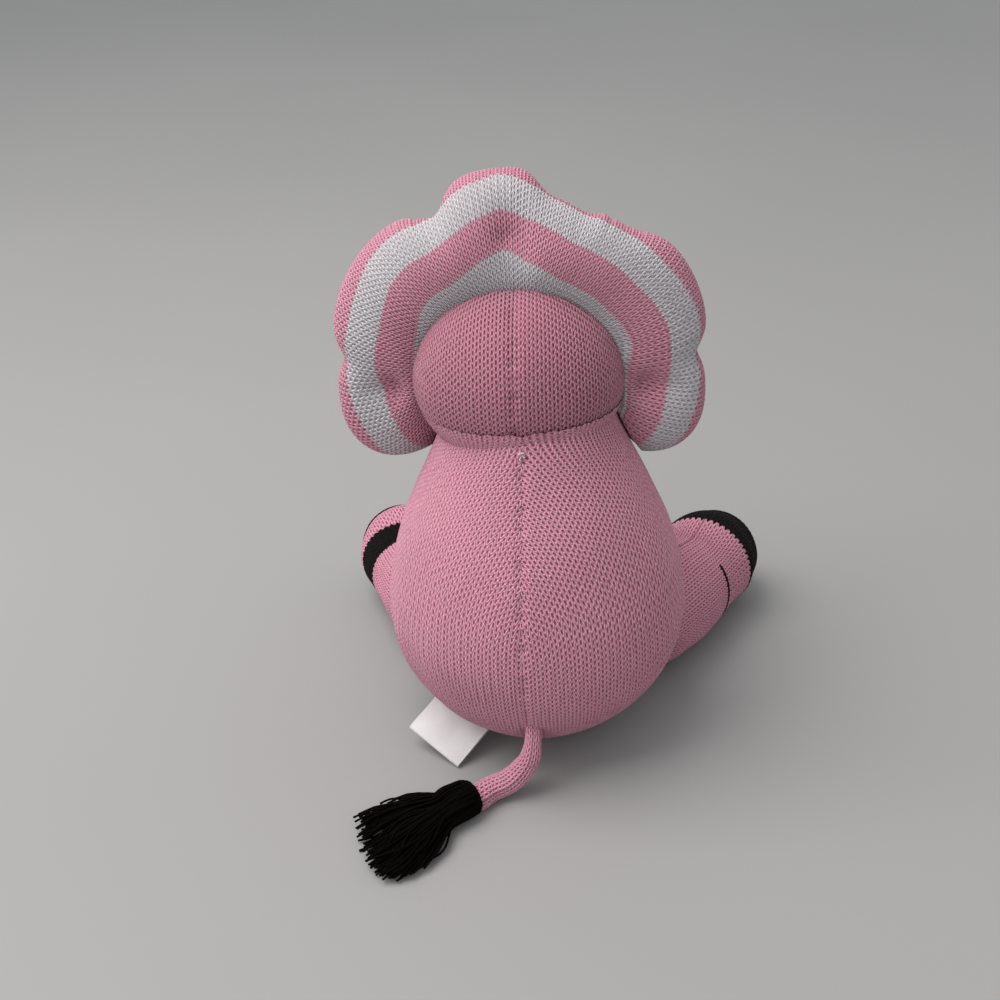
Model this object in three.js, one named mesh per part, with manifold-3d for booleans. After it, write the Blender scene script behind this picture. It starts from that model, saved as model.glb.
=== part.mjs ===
// A seated knitted toy lion: a pear-shaped body, a round head inside a scalloped mane, two arms, two legs
// that point forward, and a knitted tail that ends in a yarn tassel. Every cover is its own knitted skin
// round its own stuffing. Millimetres, +Z up. The lion faces -Y, so +X is its left side. The origin is the
// middle of the flat seat, on the surface that the lion sits on.
import * as THREE from "three";
import { mergeVertices } from "three/addons/utils/BufferGeometryUtils.js";
import Module from "manifold-3d";

const wasm = await Module();
wasm.setup();

// Cloth and clearances
const KNIT = 1.2; // thickness of the knitted skins
const GAP = 0.3; // clearance between neighbouring pieces

// Body
const BELLY_RADIUS = 44.5;
const BELLY_HEIGHT = 42; // height of the widest part
const BELLY_ROUNDNESS = 1.9; // 2 is a sphere below the belly, and more is a flatter seat
const SEAT_CUT = 0.5; // how much of the round bottom is pressed flat
const NECK_RADIUS = 22;
const NECK_HEIGHT = 110;
const SHOULDER_FULLNESS = 0.64; // less is a fuller chest
const NECK_OPENING = 9; // radius of the stuffing holes in the head and the body
const NECK_BUNCH = 2.8; // thickness of the gathered cloth under the head
const KNOT_RADIUS = 1.3; // the tied end of the back seam
const KNOT_DROP = 6; // below the neck

// Head: it sits in a cup in the neck and turns about its middle.
const HEAD_WIDTH = 60;
const HEAD_DEPTH = 54;
const HEAD_HEIGHT = 54;
const HEAD_RISE = 6.5; // its middle above the neck's edge
const HEAD_FORWARD = 2.5; // its middle ahead of the body's
const HEAD_SHIFT = 3; // it is sewn on a little to the lion's left
const HEAD_TURN = 3; // and turned this many degrees that way
const TURN_LIMIT = 20; // degrees to each side
const NOD_LIMITS = [-12, 3]; // degrees up and down
const NECK_THREAD_RADIUS = 0.6;
const NECK_THREAD_DROP = 21.5; // below the middle of the head

// Mane: a stuffed ring sewn round the head. Its angles run from straight up, to either side.
const MANE_WIDTH = 31.5; // from the seam to the rim, over the crown
const MANE_CHEEK_WIDTH = 27;
const MANE_CHEST_WIDTH = 21;
const MANE_THICKNESS = 15;
const MANE_SEAM_BACK = 5; // how far behind the head's middle the seam runs over the crown
const MANE_CHEEK_BACK = 4;
const MANE_LEAN = 24; // degrees that it leans forward over the crown
const MANE_CHEEK = 100; // where the seam leaves the cheeks and follows the neck
const MANE_NECK_DROP = 11.5; // of the seam along the neck, below the head's middle
const MANE_CHEST_SLOPE = 52; // degrees below level of the part that hangs over the chest
const SEAM_SINK = 2; // how far its sewn edge is taken into the head before it is cut to fit
const LOBE_NOTCHES = [32, 81.5, 136, 180]; // where the scallops meet
const LOBE_DEPTH = 4;
const CROWN_SAG = 6.4; // how far the rim falls away to the right of the crown, and where
const CROWN_SAG_TURN = 17.5;
const LEFT_SAG = 5;
const LEFT_SAG_TURN = 25.5;
const TUCKS = [0, 88]; // where a stitch pulls the mane in
const TUCK_PULL = 1.5;

// Legs
const HIP_ANGLE = 52; // degrees from straight ahead
const HIP_HEIGHT = 17;
const HIP_RADIUS = 16;
const HIP_PROUD = 7; // how far the middle of the hip's ball stands off the body
const LEG_SPLAY = 29; // degrees outwards of straight ahead
const LEG_LENGTH = 51; // hip to the end of the foot's barrel
const THIGH_RADIUS = 17;
const ANKLE_RADIUS = 15.6;
const FOOT_RADIUS = 17;
const FOOT_TURN = 4; // degrees that the foot turns back in
const LEG_LIMITS = [-8, 18]; // degrees down and up

// Arms
const SHOULDER_ANGLE = 29;
const SHOULDER_HEIGHT = 64;
const SHOULDER_RADIUS = 8.5;
const SHOULDER_PROUD = 3;
const ARM_DROP = 22; // shoulder down to paw
const ARM_INWARD = 7; // degrees round the body that the paw is nearer the middle
const PAW_RADIUS = 9.5;
const ARM_LIMITS = [0, 28];

// Ears and face
const EAR_WIDTH = 18;
const EAR_HEIGHT = 17;
const EAR_THICKNESS = 5.5;
const EAR_SINK = 3.4; // how much of it the curve of the head takes off
const EAR_ANGLE = 46; // degrees from straight up
const EAR_FORWARD = 0.556; // share of the head's half depth that they stand in front of its middle
const MUZZLE_WIDTH = 25;
const MUZZLE_HEIGHT = 17;
const MUZZLE_PROUD = 8;
const MUZZLE_DROP = 0.5; // below the middle of the head
const EYE_WIDTH = 4.4;
const EYE_HEIGHT = 5.4;
const EYE_SPACING = 22;
const EYE_RISE = 9;
const NOSE_WIDTH = 9;
const NOSE_HEIGHT = 5.4;
const MOUTH_WIDTH = 8;
const MOUTH_DROP = 3;
const MOUTH_LINE = 1;
const EMBROIDERY = 0.9; // thickness of the stitched eyes, nose and mouth

// Tail and tassel
const TAIL_ROOT_HEIGHT = 22;
const TAIL_ROOT_RADIUS = 1.75;
const TAIL_MIDDLE_RADIUS = 3.1;
const TAIL_END_RADIUS = 3.65;
const TAIL_ASIDE = 14.2; // from its root to its end, to the lion's left
const TAIL_BACK = 10; // from its root to its end, backwards
const TAIL_LIMITS = [-5, 80];
const TASSEL_ANGLE = 38; // degrees back of straight to the lion's left
const TASSEL_LENGTH = 35;
const TASSEL_SPREAD = 15; // half the width of the fan's end
const TASSEL_THICKNESS = 4; // half the thickness of the fan's end near the binding
const TASSEL_BIND = 1.3; // thickness of the yarn tied round the tail's end

// Label: a folded ribbon in the seam beside the tail
const LABEL_WIDTH = 20;
const LABEL_LENGTH = 14; // from the seam to the fold
const LABEL_LEAF = 0.45; // thickness of each leaf
const LABEL_SLOT = 0.5; // between the leaves
const LABEL_ANGLE = 130;
const LABEL_HEIGHT = 11; // of the middle of its root
const LABEL_TURN = 8; // degrees that it turns back from straight out
const LABEL_DIP = 28; // degrees below level
const LABEL_ROLL = -20; // degrees, so that its rear edge hangs lower
const LABEL_LIMITS = [-8, 0]; // degrees, where less than 0 lifts it

const PINK = 0xd39aa8;
const WHITE = 0xd8d5d0;
const DARK = 0x17100e;
const FIBRE = 0xf2f0ea;
const SATIN = 0xe6dedc;

const rad = THREE.MathUtils.degToRad;
const lerp = THREE.MathUtils.lerp;
const smooth = THREE.MathUtils.smoothstep;
const vec = (x, y, z) => new THREE.Vector3(x, y, z);
const UP = vec(0, 0, 1);

// The level direction at some degrees round from straight ahead, towards the lion's left.
const level = (degrees) => vec(Math.sin(rad(degrees)), -Math.cos(rad(degrees)), 0);

// Geometry to manifold-3d solid and back.
function solidOf(geometry) {
  const bare = geometry.clone();
  bare.deleteAttribute("normal");
  bare.deleteAttribute("uv");
  const merged = mergeVertices(bare, 1e-4);
  return new wasm.Manifold(
    new wasm.Mesh({
      numProp: 3,
      vertProperties: merged.attributes.position.array,
      triVerts: new Uint32Array(merged.index.array),
    }),
  );
}

function geometryOf(solid) {
  const mesh = solid.getMesh();
  const geometry = new THREE.BufferGeometry();
  geometry.setAttribute("position", new THREE.BufferAttribute(mesh.vertProperties, 3));
  geometry.setIndex(new THREE.BufferAttribute(mesh.triVerts, 1));
  geometry.computeVertexNormals();
  return geometry;
}

// A skin through rings of points. An open run of rings closes on the middle of its end rings, and a loop of
// rings joins its last ring to its first.
function skin(rings, loop = false) {
  const sides = rings[0].length;
  const points = rings.flat();
  const index = [];
  const last = loop ? rings.length : rings.length - 1;
  for (let i = 0; i < last; i++) {
    const here = i * sides;
    const next = ((i + 1) % rings.length) * sides;
    for (let j = 0; j < sides; j++) {
      const k = (j + 1) % sides;
      index.push(here + j, here + k, next + k, here + j, next + k, next + j);
    }
  }
  if (!loop) {
    for (const [ring, flip] of [[0, true], [rings.length - 1, false]]) {
      const middle = rings[ring].reduce((sum, p) => sum.add(p), vec(0, 0, 0)).divideScalar(sides);
      const centre = points.push(middle) - 1;
      for (let j = 0; j < sides; j++) {
        const [a, b] = [ring * sides + j, ring * sides + ((j + 1) % sides)];
        index.push(...(flip ? [centre, b, a] : [centre, a, b]));
      }
    }
  }
  const geometry = new THREE.BufferGeometry().setFromPoints(points);
  geometry.setIndex(index);
  const solid = solidOf(geometry);
  if (solid.volume() > 0) return solid;
  geometry.setIndex(index.reverse());
  return solidOf(geometry);
}

// A turned solid from an outline of [radius, height] points that starts and ends on the axis.
function turned(outline, sides) {
  const lathe = new THREE.LatheGeometry(outline.map(([r, z]) => new THREE.Vector2(r, z)), sides);
  return solidOf(lathe.rotateX(Math.PI / 2));
}

function rod(middle, radius, bottom, top, sides = 12) {
  const outline = [[0, bottom], [radius, bottom], [radius, top], [0, top]];
  return turned(outline, sides).translate([middle.x, middle.y, 0]);
}

function ellipsoid(centre, halves, sides, rings) {
  const ball = new THREE.SphereGeometry(1, sides, rings).rotateX(Math.PI / 2);
  return solidOf(ball.scale(...halves).translate(centre.x, centre.y, centre.z));
}

// A hollow of at least these half sizes, with its flats outside the round that it leaves room for.
function hollow(centre, halves, sides, rings) {
  const ease = 1 / (Math.cos(Math.PI / sides) * Math.cos(Math.PI / 2 / rings));
  return ellipsoid(centre, halves.map((half) => half * ease), sides, rings);
}

const ballHollow = (centre, radius, sides, rings) =>
  hollow(centre, [radius, radius, radius], sides, rings);

const floorBelow = (z) => solidOf(new THREE.BoxGeometry(600, 600, 200).translate(0, 0, z - 100));

// A solid turned about a line by some degrees.
function swung(solid, pivot, axis, degrees) {
  const turn = new THREE.Matrix4()
    .makeTranslation(pivot.x, pivot.y, pivot.z)
    .multiply(new THREE.Matrix4().makeRotationAxis(axis, rad(degrees)))
    .multiply(new THREE.Matrix4().makeTranslation(-pivot.x, -pivot.y, -pivot.z));
  return solid.transform(turn.elements);
}

const spread = (limits, count) =>
  Array.from({ length: count }, (_, i) => lerp(limits[0], limits[1], i / (count - 1)));

const largest = (solid) => solid.decompose().sort((a, b) => b.volume() - a.volume())[0];

// Takes a neighbour away from a piece that swings past it, at rest and over the joint's range.
function clearedOf(piece, neighbour, pivot, axis, limits, count = 3) {
  let left = piece.subtract(neighbour);
  for (const degrees of spread(limits, count)) {
    left = left.subtract(swung(neighbour, pivot, axis, -degrees));
  }
  return largest(left);
}

// Body: its half width at a height.
function bodyRadius(z) {
  if (z < BELLY_HEIGHT) {
    const drop = Math.min((BELLY_HEIGHT - z) / (BELLY_HEIGHT + SEAT_CUT), 1);
    return BELLY_RADIUS * (1 - drop ** BELLY_ROUNDNESS) ** (1 / BELLY_ROUNDNESS);
  }
  const rise = Math.min((z - BELLY_HEIGHT) / (NECK_HEIGHT - BELLY_HEIGHT), 1);
  const share = (0.5 + 0.5 * Math.cos(Math.PI * rise)) ** SHOULDER_FULLNESS;
  return NECK_RADIUS + (BELLY_RADIUS - NECK_RADIUS) * share;
}

// The heights of its rings are closer together near the seat, where it is roundest.
function bodySolid(grow, sides, rings) {
  const outline = [[0, -SEAT_CUT - grow]];
  for (let i = 1; i <= rings; i++) {
    const share = i / rings;
    const rise = share < 0.4 ? share * (0.35 + share * 1.625) : share;
    const z = -SEAT_CUT + (NECK_HEIGHT + SEAT_CUT) * rise;
    const tilt = Math.atan(bodyRadius(z + 0.5) - bodyRadius(z - 0.5));
    outline.push([bodyRadius(z) + grow * Math.cos(tilt), z - grow * Math.sin(tilt)]);
  }
  outline.push([0, outline[outline.length - 1][1]]);
  return turned(outline, sides);
}

const bodySurface = (angle, height, outset = 0) =>
  level(angle).multiplyScalar(bodyRadius(height) + outset).setZ(height);

// Head
const headMiddle = vec(HEAD_SHIFT, -HEAD_FORWARD, NECK_HEIGHT + HEAD_RISE);
const headHalves = [HEAD_WIDTH / 2, HEAD_DEPTH / 2, HEAD_HEIGHT / 2];
const onTheSkew = (piece) => swung(piece, headMiddle, UP, HEAD_TURN);

function headSolid(grow, sides = 24, rings = 13) {
  return ellipsoid(headMiddle, headHalves.map((half) => half + grow), sides, rings);
}

// The reach of the head from its middle, in a direction.
function headReach(direction) {
  return 1 / Math.hypot(...direction.toArray().map((v, i) => v / headHalves[i]));
}

// The cup that the head turns in: wide enough for its corners on the way. It nods about the same middle.
function headCup(grow, sides, rings) {
  const [wide, deep, high] = headHalves;
  const turn = rad(TURN_LIMIT + HEAD_TURN);
  const sideways = Math.hypot(deep * Math.cos(turn), wide * Math.sin(turn)) + 0.5;
  return hollow(headMiddle, [wide + grow, sideways + grow, Math.max(deep, high) + grow], sides, rings);
}

const neckThreadReach =
  (HEAD_WIDTH / 2) * Math.sqrt(1 - (NECK_THREAD_DROP / (HEAD_HEIGHT / 2)) ** 2) + NECK_THREAD_RADIUS * 2;
const neckRing = (radius) =>
  solidOf(
    new THREE.TorusGeometry(neckThreadReach, radius, 5, 24).translate(
      headMiddle.x,
      headMiddle.y,
      headMiddle.z - NECK_THREAD_DROP - NECK_THREAD_RADIUS,
    ),
  );
const headNear = hollow(headMiddle, headHalves.map((half) => half + GAP), 22, 12);
const neckThread = neckRing(NECK_THREAD_RADIUS).subtract(headNear);
const neckCup = headCup(GAP, 20, 10).add(neckRing(NECK_THREAD_RADIUS + GAP));
const headHole = rod(headMiddle, NECK_OPENING, headMiddle.z - HEAD_HEIGHT, headMiddle.z);
const headCover = headSolid(0).subtract(headSolid(-KNIT, 16, 9)).subtract(headHole);
const headFilling = headSolid(-KNIT - GAP, 16, 9);

// Where each limb's round end sits in the body
const hipAt = (side) => bodySurface(HIP_ANGLE * side, HIP_HEIGHT, HIP_PROUD);
const shoulderAt = (side) => bodySurface(SHOULDER_ANGLE * side, SHOULDER_HEIGHT, SHOULDER_PROUD);

function limbSockets(grow, sides, rings) {
  return [1, -1]
    .flatMap((side) => [
      ballHollow(hipAt(side), HIP_RADIUS + grow, sides, rings),
      ballHollow(shoulderAt(side), SHOULDER_RADIUS + grow, sides, rings),
    ])
    .reduce((all, one) => all.add(one));
}

const bodyOuter = bodySolid(0, 28, 12)
  .subtract(floorBelow(0))
  .subtract(limbSockets(GAP, 14, 8))
  .subtract(neckCup);
const bodyInner = bodySolid(-KNIT, 16, 7)
  .subtract(floorBelow(KNIT))
  .subtract(limbSockets(GAP * 2 + KNIT, 10, 6))
  .subtract(headCup(GAP + NECK_BUNCH, 12, 6));
const neckHole = rod(headMiddle, NECK_OPENING, NECK_HEIGHT - 30, NECK_HEIGHT + 10);
const bodyCover = largest(bodyOuter.subtract(bodyInner).subtract(neckHole));
const bodyFilling = bodySolid(-KNIT - GAP, 16, 7)
  .subtract(floorBelow(KNIT + GAP))
  .subtract(limbSockets(GAP * 3 + KNIT, 10, 6))
  .subtract(headCup(GAP * 2 + NECK_BUNCH, 12, 6));

// What the limbs and the mane keep clear of
const bodyWhole = bodySolid(GAP, 28, 12);
const bodyNear = bodyWhole.subtract(limbSockets(GAP / 2, 14, 8));

// Mane: where it is sewn on, which way it stands out there, and its width, at an angle round the face.
function lobe(turn) {
  const ends = [-LOBE_NOTCHES[0], ...LOBE_NOTCHES];
  const at = ends.findIndex((end) => turn <= end);
  const [from, to] = [ends[at - 1], ends[at]];
  return Math.sin((Math.PI * (turn - from)) / (to - from)) ** 0.7;
}

function tuck(turn) {
  return Math.max(...TUCKS.map((at) => Math.exp(-(((turn - at) / 9) ** 2))));
}

// The crown's scallop is a narrow one: the rim falls off steeply to its right, and less to its left.
function sag(angle) {
  const turn = Math.abs(angle);
  if (angle > 0) return LEFT_SAG * Math.exp(-(((turn - LEFT_SAG_TURN) / 6) ** 2));
  const beyond = 3.4 * Math.exp(-(((turn - 38) / 9) ** 2));
  return CROWN_SAG * Math.exp(-(((turn - CROWN_SAG_TURN) / 10.5) ** 4)) + beyond;
}

function maneFrame(angle) {
  const turn = Math.abs(angle);
  const side = Math.sign(angle);
  const around = smooth(turn, MANE_CHEEK - 35, MANE_CHEEK + 35); // 0 over the crown, 1 along the neck
  const back = lerp(MANE_SEAM_BACK, MANE_CHEEK_BACK, smooth(turn, 0, 90)) / (HEAD_DEPTH / 2);
  const crown = vec(Math.sin(rad(turn)) * side, 0, Math.cos(rad(turn)));
  const overCrown = crown.clone().multiplyScalar(Math.sqrt(1 - back ** 2)).setY(back);
  const neckTurn = 90 * (1 - smooth(turn, MANE_CHEEK - 15, 195) ** 0.8);
  const dip = -MANE_NECK_DROP / (HEAD_HEIGHT / 2);
  const alongNeck = level(neckTurn * side).multiplyScalar(Math.sqrt(1 - dip ** 2)).setZ(dip);
  const seam = overCrown.lerp(alongNeck, around).normalize();
  const lean = rad(lerp(MANE_LEAN, MANE_LEAN * 0.75, smooth(turn, 0, 90)));
  const crownOut = crown.clone().multiplyScalar(Math.cos(lean)).setY(-Math.sin(lean));
  const chestOut = level(neckTurn * side)
    .multiplyScalar(Math.cos(rad(MANE_CHEST_SLOPE)))
    .setZ(-Math.sin(rad(MANE_CHEST_SLOPE)));
  const out = crownOut.lerp(chestOut, smooth(turn, MANE_CHEEK - 25, MANE_CHEEK + 30)).normalize();
  const sewn = headMiddle.clone().addScaledVector(seam, headReach(seam) - SEAM_SINK);
  const upper = lerp(MANE_WIDTH, MANE_CHEEK_WIDTH, smooth(turn, 10, 65));
  const width = lerp(upper, MANE_CHEST_WIDTH, smooth(turn, MANE_CHEEK - 8, MANE_CHEEK + 25));
  const pulled = TUCK_PULL * smooth(turn, 50, TUCKS[1]) * tuck(turn);
  const scallop = LOBE_DEPTH * (1 - lobe(turn)) + sag(angle);
  return { turn, sewn, out, length: width + SEAM_SINK - scallop - pulled };
}

// One section of the mane's tube: narrow where it is sewn on, fullest near the rim.
function maneSection(angle, inset, corners) {
  const { turn, sewn, out, length } = maneFrame(angle);
  const [ahead, behind] = [angle + 1, angle - 1]
    .map((near) => maneFrame(near))
    .map((near) => near.sewn.addScaledVector(near.out, length * 0.4));
  const across = ahead.sub(behind).cross(out).normalize();
  return Array.from({ length: corners }, (_, j) => {
    const a = (2 * Math.PI * j) / corners;
    const along = length / 2 - (length / 2 - inset) * Math.cos(a);
    const place = along / length;
    const full = 0.6 + 0.4 * Math.sin((Math.PI / 2) * Math.min(place / 0.55, 1));
    const pinch = 1 - 0.4 * tuck(turn) * Math.exp(-(((place - 0.4) / 0.3) ** 2));
    const thick = (MANE_THICKNESS / 2 - inset) * Math.sin(a) * full * pinch;
    return sewn.clone().addScaledVector(out, along).addScaledVector(across, thick);
  });
}

function maneRing(inset, stations, corners) {
  const step = 360 / stations;
  const angles = Array.from({ length: stations }, (_, i) => -180 + (i + 0.5) * step);
  return skin(angles.map((angle) => maneSection(angle, inset, corners)), true);
}

// The mane keeps clear of the body however the head nods, and of the round it makes as the head turns.
const offCentre = 2 * Math.hypot(HEAD_SHIFT, HEAD_FORWARD) * Math.sin(rad(TURN_LIMIT + HEAD_TURN) / 2);
const bodyRound = bodySolid(GAP * 2 + offCentre, 18, 9);
const fitted = (piece) =>
  clearedOf(piece.subtract(headNear), bodyRound, headMiddle, vec(1, 0, 0), NOD_LIMITS, 3);

const maneCover = fitted(maneRing(0, 42, 8).subtract(maneRing(KNIT, 42, 5)));
const maneFilling = fitted(maneRing(KNIT + GAP, 42, 5));
const maneNear = maneRing(-GAP, 42, 8);

// A limb is a run of rings along a curve: a ball at its root, a half width at each of its points and a
// rounded end.
function limb(points, radii, endRise, inset, sides, steps, ballRings = 3) {
  const path = new THREE.CatmullRomCurve3(points, false, "centripetal");
  const ringAt = (middle, ahead, radius) => {
    const side = ahead.clone().cross(UP).normalize();
    const above = side.clone().cross(ahead).normalize();
    return Array.from({ length: sides }, (_, j) => {
      const a = (2 * Math.PI * j) / sides;
      return middle
        .clone()
        .addScaledVector(side, radius * Math.cos(a))
        .addScaledVector(above, radius * Math.sin(a));
    });
  };
  const rings = [];
  const [root, rootAhead] = [path.getPoint(0), path.getTangent(0)];
  for (let i = 0; i < ballRings; i++) {
    const a = rad(18 + (72 * i) / ballRings);
    const reach = radii[0] - inset;
    const middle = root.clone().addScaledVector(rootAhead, -reach * Math.cos(a));
    rings.push(ringAt(middle, rootAhead, reach * Math.sin(a)));
  }
  for (let i = 0; i <= steps; i++) {
    const place = (i / steps) * (radii.length - 1);
    const at = Math.min(Math.floor(place), radii.length - 2);
    const radius = lerp(radii[at], radii[at + 1], smooth(place - at, 0, 1)) - inset;
    rings.push(ringAt(path.getPoint(i / steps), path.getTangent(i / steps), radius));
  }
  const [end, endAhead] = [path.getPoint(1), path.getTangent(1)];
  for (const share of [0.5, 0.85]) {
    const middle = end.clone().addScaledVector(endAhead, (endRise - inset) * share);
    rings.push(ringAt(middle, endAhead, (radii[radii.length - 1] - inset) * Math.sqrt(1 - share ** 2)));
  }
  return skin(rings);
}

// Legs: out from the hip along the floor, narrow at the ankle and round at the foot.
function leg(side) {
  const hip = hipAt(side);
  const out = level(LEG_SPLAY * side);
  const toes = level((LEG_SPLAY - FOOT_TURN) * side);
  const ankle = hip.clone().addScaledVector(out, LEG_LENGTH * 0.6).setZ(ANKLE_RADIUS);
  const points = [
    hip,
    hip.clone().addScaledVector(out, LEG_LENGTH * 0.3).setZ(THIGH_RADIUS - SEAT_CUT),
    ankle,
    ankle.clone().addScaledVector(toes, LEG_LENGTH * 0.22).setZ(FOOT_RADIUS - SEAT_CUT),
    ankle.clone().addScaledVector(toes, LEG_LENGTH * 0.4).setZ(FOOT_RADIUS),
  ];
  const radii = [HIP_RADIUS, THIGH_RADIUS, ANKLE_RADIUS, FOOT_RADIUS, FOOT_RADIUS * 0.93];
  const axis = out.clone().cross(UP);
  const make = (inset, sides, steps, floor) =>
    limb(points, radii, FOOT_RADIUS * 0.55, inset, sides, steps).subtract(floorBelow(floor));
  const opening = ballHollow(hip.clone().addScaledVector(out, -HIP_RADIUS), HIP_RADIUS * 0.55, 10, 6);
  const cover = make(0, 14, 8, 0).subtract(make(KNIT, 9, 5, KNIT)).subtract(opening);
  const filling = make(KNIT + GAP, 9, 5, KNIT + GAP);
  return {
    cover: clearedOf(cover, bodyNear, hip, axis, LEG_LIMITS),
    filling: clearedOf(filling, bodyNear, hip, axis, LEG_LIMITS),
  };
}

// Arms: down from the shoulder along the chest.
function arm(side) {
  const shoulder = shoulderAt(side);
  const along = (share, outset) =>
    bodySurface((SHOULDER_ANGLE - ARM_INWARD * share) * side, SHOULDER_HEIGHT - ARM_DROP * share, outset);
  const points = [shoulder, along(0.45, SHOULDER_RADIUS + 0.8), along(1, PAW_RADIUS + 1.5)];
  const radii = [SHOULDER_RADIUS, SHOULDER_RADIUS, PAW_RADIUS];
  const axis = level(SHOULDER_ANGLE * side).cross(UP);
  const inwards = points[1].clone().sub(shoulder).normalize().multiplyScalar(-SHOULDER_RADIUS);
  const make = (inset, sides, steps) => limb(points, radii, PAW_RADIUS * 0.8, inset, sides, steps);
  const opening = ballHollow(shoulder.clone().add(inwards), SHOULDER_RADIUS * 0.5, 8, 5);
  const cover = make(0, 11, 5).subtract(make(KNIT, 7, 4)).subtract(opening);
  const filling = make(KNIT + GAP, 7, 4);
  return {
    cover: clearedOf(cover, bodyNear, shoulder, axis, ARM_LIMITS),
    filling: clearedOf(filling, bodyNear, shoulder, axis, ARM_LIMITS),
  };
}

// Ears stand on the head in front of the mane.
function ear(side) {
  const direction = vec(Math.sin(rad(EAR_ANGLE)) * side, 0, Math.cos(rad(EAR_ANGLE)));
  const forward = (EAR_FORWARD * HEAD_DEPTH) / 2;
  const ring = Math.sqrt(1 - EAR_FORWARD ** 2);
  const foot = headMiddle.clone().addScaledVector(direction, headReach(direction) * ring);
  const halves = [EAR_WIDTH / 2, EAR_THICKNESS / 2, EAR_HEIGHT / 2];
  const pad = ellipsoid(vec(0, 0, EAR_HEIGHT / 2 - EAR_SINK), halves, 16, 10)
    .rotate([MANE_LEAN, 0, 0])
    .rotate([0, EAR_ANGLE * side, 0])
    .translate([foot.x, foot.y - forward, foot.z]);
  return largest(pad.subtract(headNear).subtract(maneNear));
}

// Face
const muzzleMiddle = headMiddle.clone().add(vec(0, -HEAD_DEPTH / 2 + 2, -MUZZLE_DROP));

function muzzle(grow) {
  const halves = [MUZZLE_WIDTH / 2, MUZZLE_PROUD + 2, MUZZLE_HEIGHT / 2].map((half) => half + grow);
  return ellipsoid(muzzleMiddle, halves, 22, 12);
}

// A patch of satin stitches on a rounded surface: the layer between two sizes of it, inside an outline.
function stitched(surface, behind, outline) {
  const shape = new THREE.Shape(outline.map(([x, z]) => new THREE.Vector2(x + headMiddle.x, z)));
  const prism = new THREE.ExtrudeGeometry(shape, { depth: HEAD_DEPTH, bevelEnabled: false });
  prism.rotateX(Math.PI / 2).translate(0, behind, 0);
  return largest(surface(GAP + EMBROIDERY).subtract(surface(GAP)).intersect(solidOf(prism)));
}

function oval(middle, width, height, count = 14) {
  return Array.from({ length: count }, (_, i) => {
    const a = (2 * Math.PI * i) / count;
    return [middle[0] + (width / 2) * Math.cos(a), middle[1] + (height / 2) * Math.sin(a)];
  });
}

function eye(side) {
  const middle = [(EYE_SPACING / 2) * side, headMiddle.z + EYE_RISE];
  return stitched(headSolid, headMiddle.y, oval(middle, EYE_WIDTH, EYE_HEIGHT));
}

const noseTop = muzzleMiddle.z + MUZZLE_HEIGHT * 0.36;
const noseLow = noseTop - NOSE_HEIGHT;
const nose = stitched(muzzle, muzzleMiddle.y, [
  [-1, noseLow],
  [1, noseLow],
  [NOSE_WIDTH / 2, noseTop - 1],
  [NOSE_WIDTH / 2 - 1.2, noseTop],
  [-NOSE_WIDTH / 2 + 1.2, noseTop],
  [-NOSE_WIDTH / 2, noseTop - 1],
]);
const mouthTop = noseLow - GAP;
const mouthLow = mouthTop - MOUTH_DROP;
const mouth = stitched(muzzle, muzzleMiddle.y, [
  [-MOUTH_LINE / 2, mouthTop],
  [-MOUTH_LINE / 2, mouthLow + MOUTH_LINE],
  [-MOUTH_WIDTH / 2, mouthLow - MOUTH_LINE * 0.4],
  [-MOUTH_WIDTH / 2 + 0.6, mouthLow - MOUTH_LINE * 1.3],
  [0, mouthLow],
  [MOUTH_WIDTH / 2 - 0.6, mouthLow - MOUTH_LINE * 1.3],
  [MOUTH_WIDTH / 2, mouthLow - MOUTH_LINE * 0.4],
  [MOUTH_LINE / 2, mouthLow + MOUTH_LINE],
  [MOUTH_LINE / 2, mouthTop],
]);

// Tail: out of the back seam, down to the floor and round to the lion's left.
const tailRoot = bodySurface(180, TAIL_ROOT_HEIGHT);
// Share of its reach aside, share of its reach backwards, height
const tailRoute = [
  [-0.106, -0.2, TAIL_ROOT_HEIGHT * 1.06],
  [-0.12, 0.22, TAIL_ROOT_HEIGHT * 0.85],
  [-0.056, 0.36, TAIL_ROOT_HEIGHT * 0.625],
  [0.113, 0.38, TAIL_ROOT_HEIGHT * 0.43],
  [0.408, 0.44, TAIL_END_RADIUS * 1.438],
  [0.739, 0.64, TAIL_END_RADIUS * 1.055],
  [1, 1, TAIL_END_RADIUS * 0.973],
].map(([aside, back, height]) => vec(TAIL_ASIDE * aside, tailRoot.y + TAIL_BACK * back, height));
const tailEnd = tailRoute[tailRoute.length - 1];
const tailRadii = [TAIL_ROOT_RADIUS, TAIL_MIDDLE_RADIUS, TAIL_END_RADIUS];
const tailSolid = (inset) => limb(tailRoute, tailRadii, TAIL_END_RADIUS * 0.9, inset, 10, 14, 2);
const tail = clearedOf(tailSolid(0), bodyWhole, tailRoot, UP, TAIL_LIMITS, 8).subtract(floorBelow(0));

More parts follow.
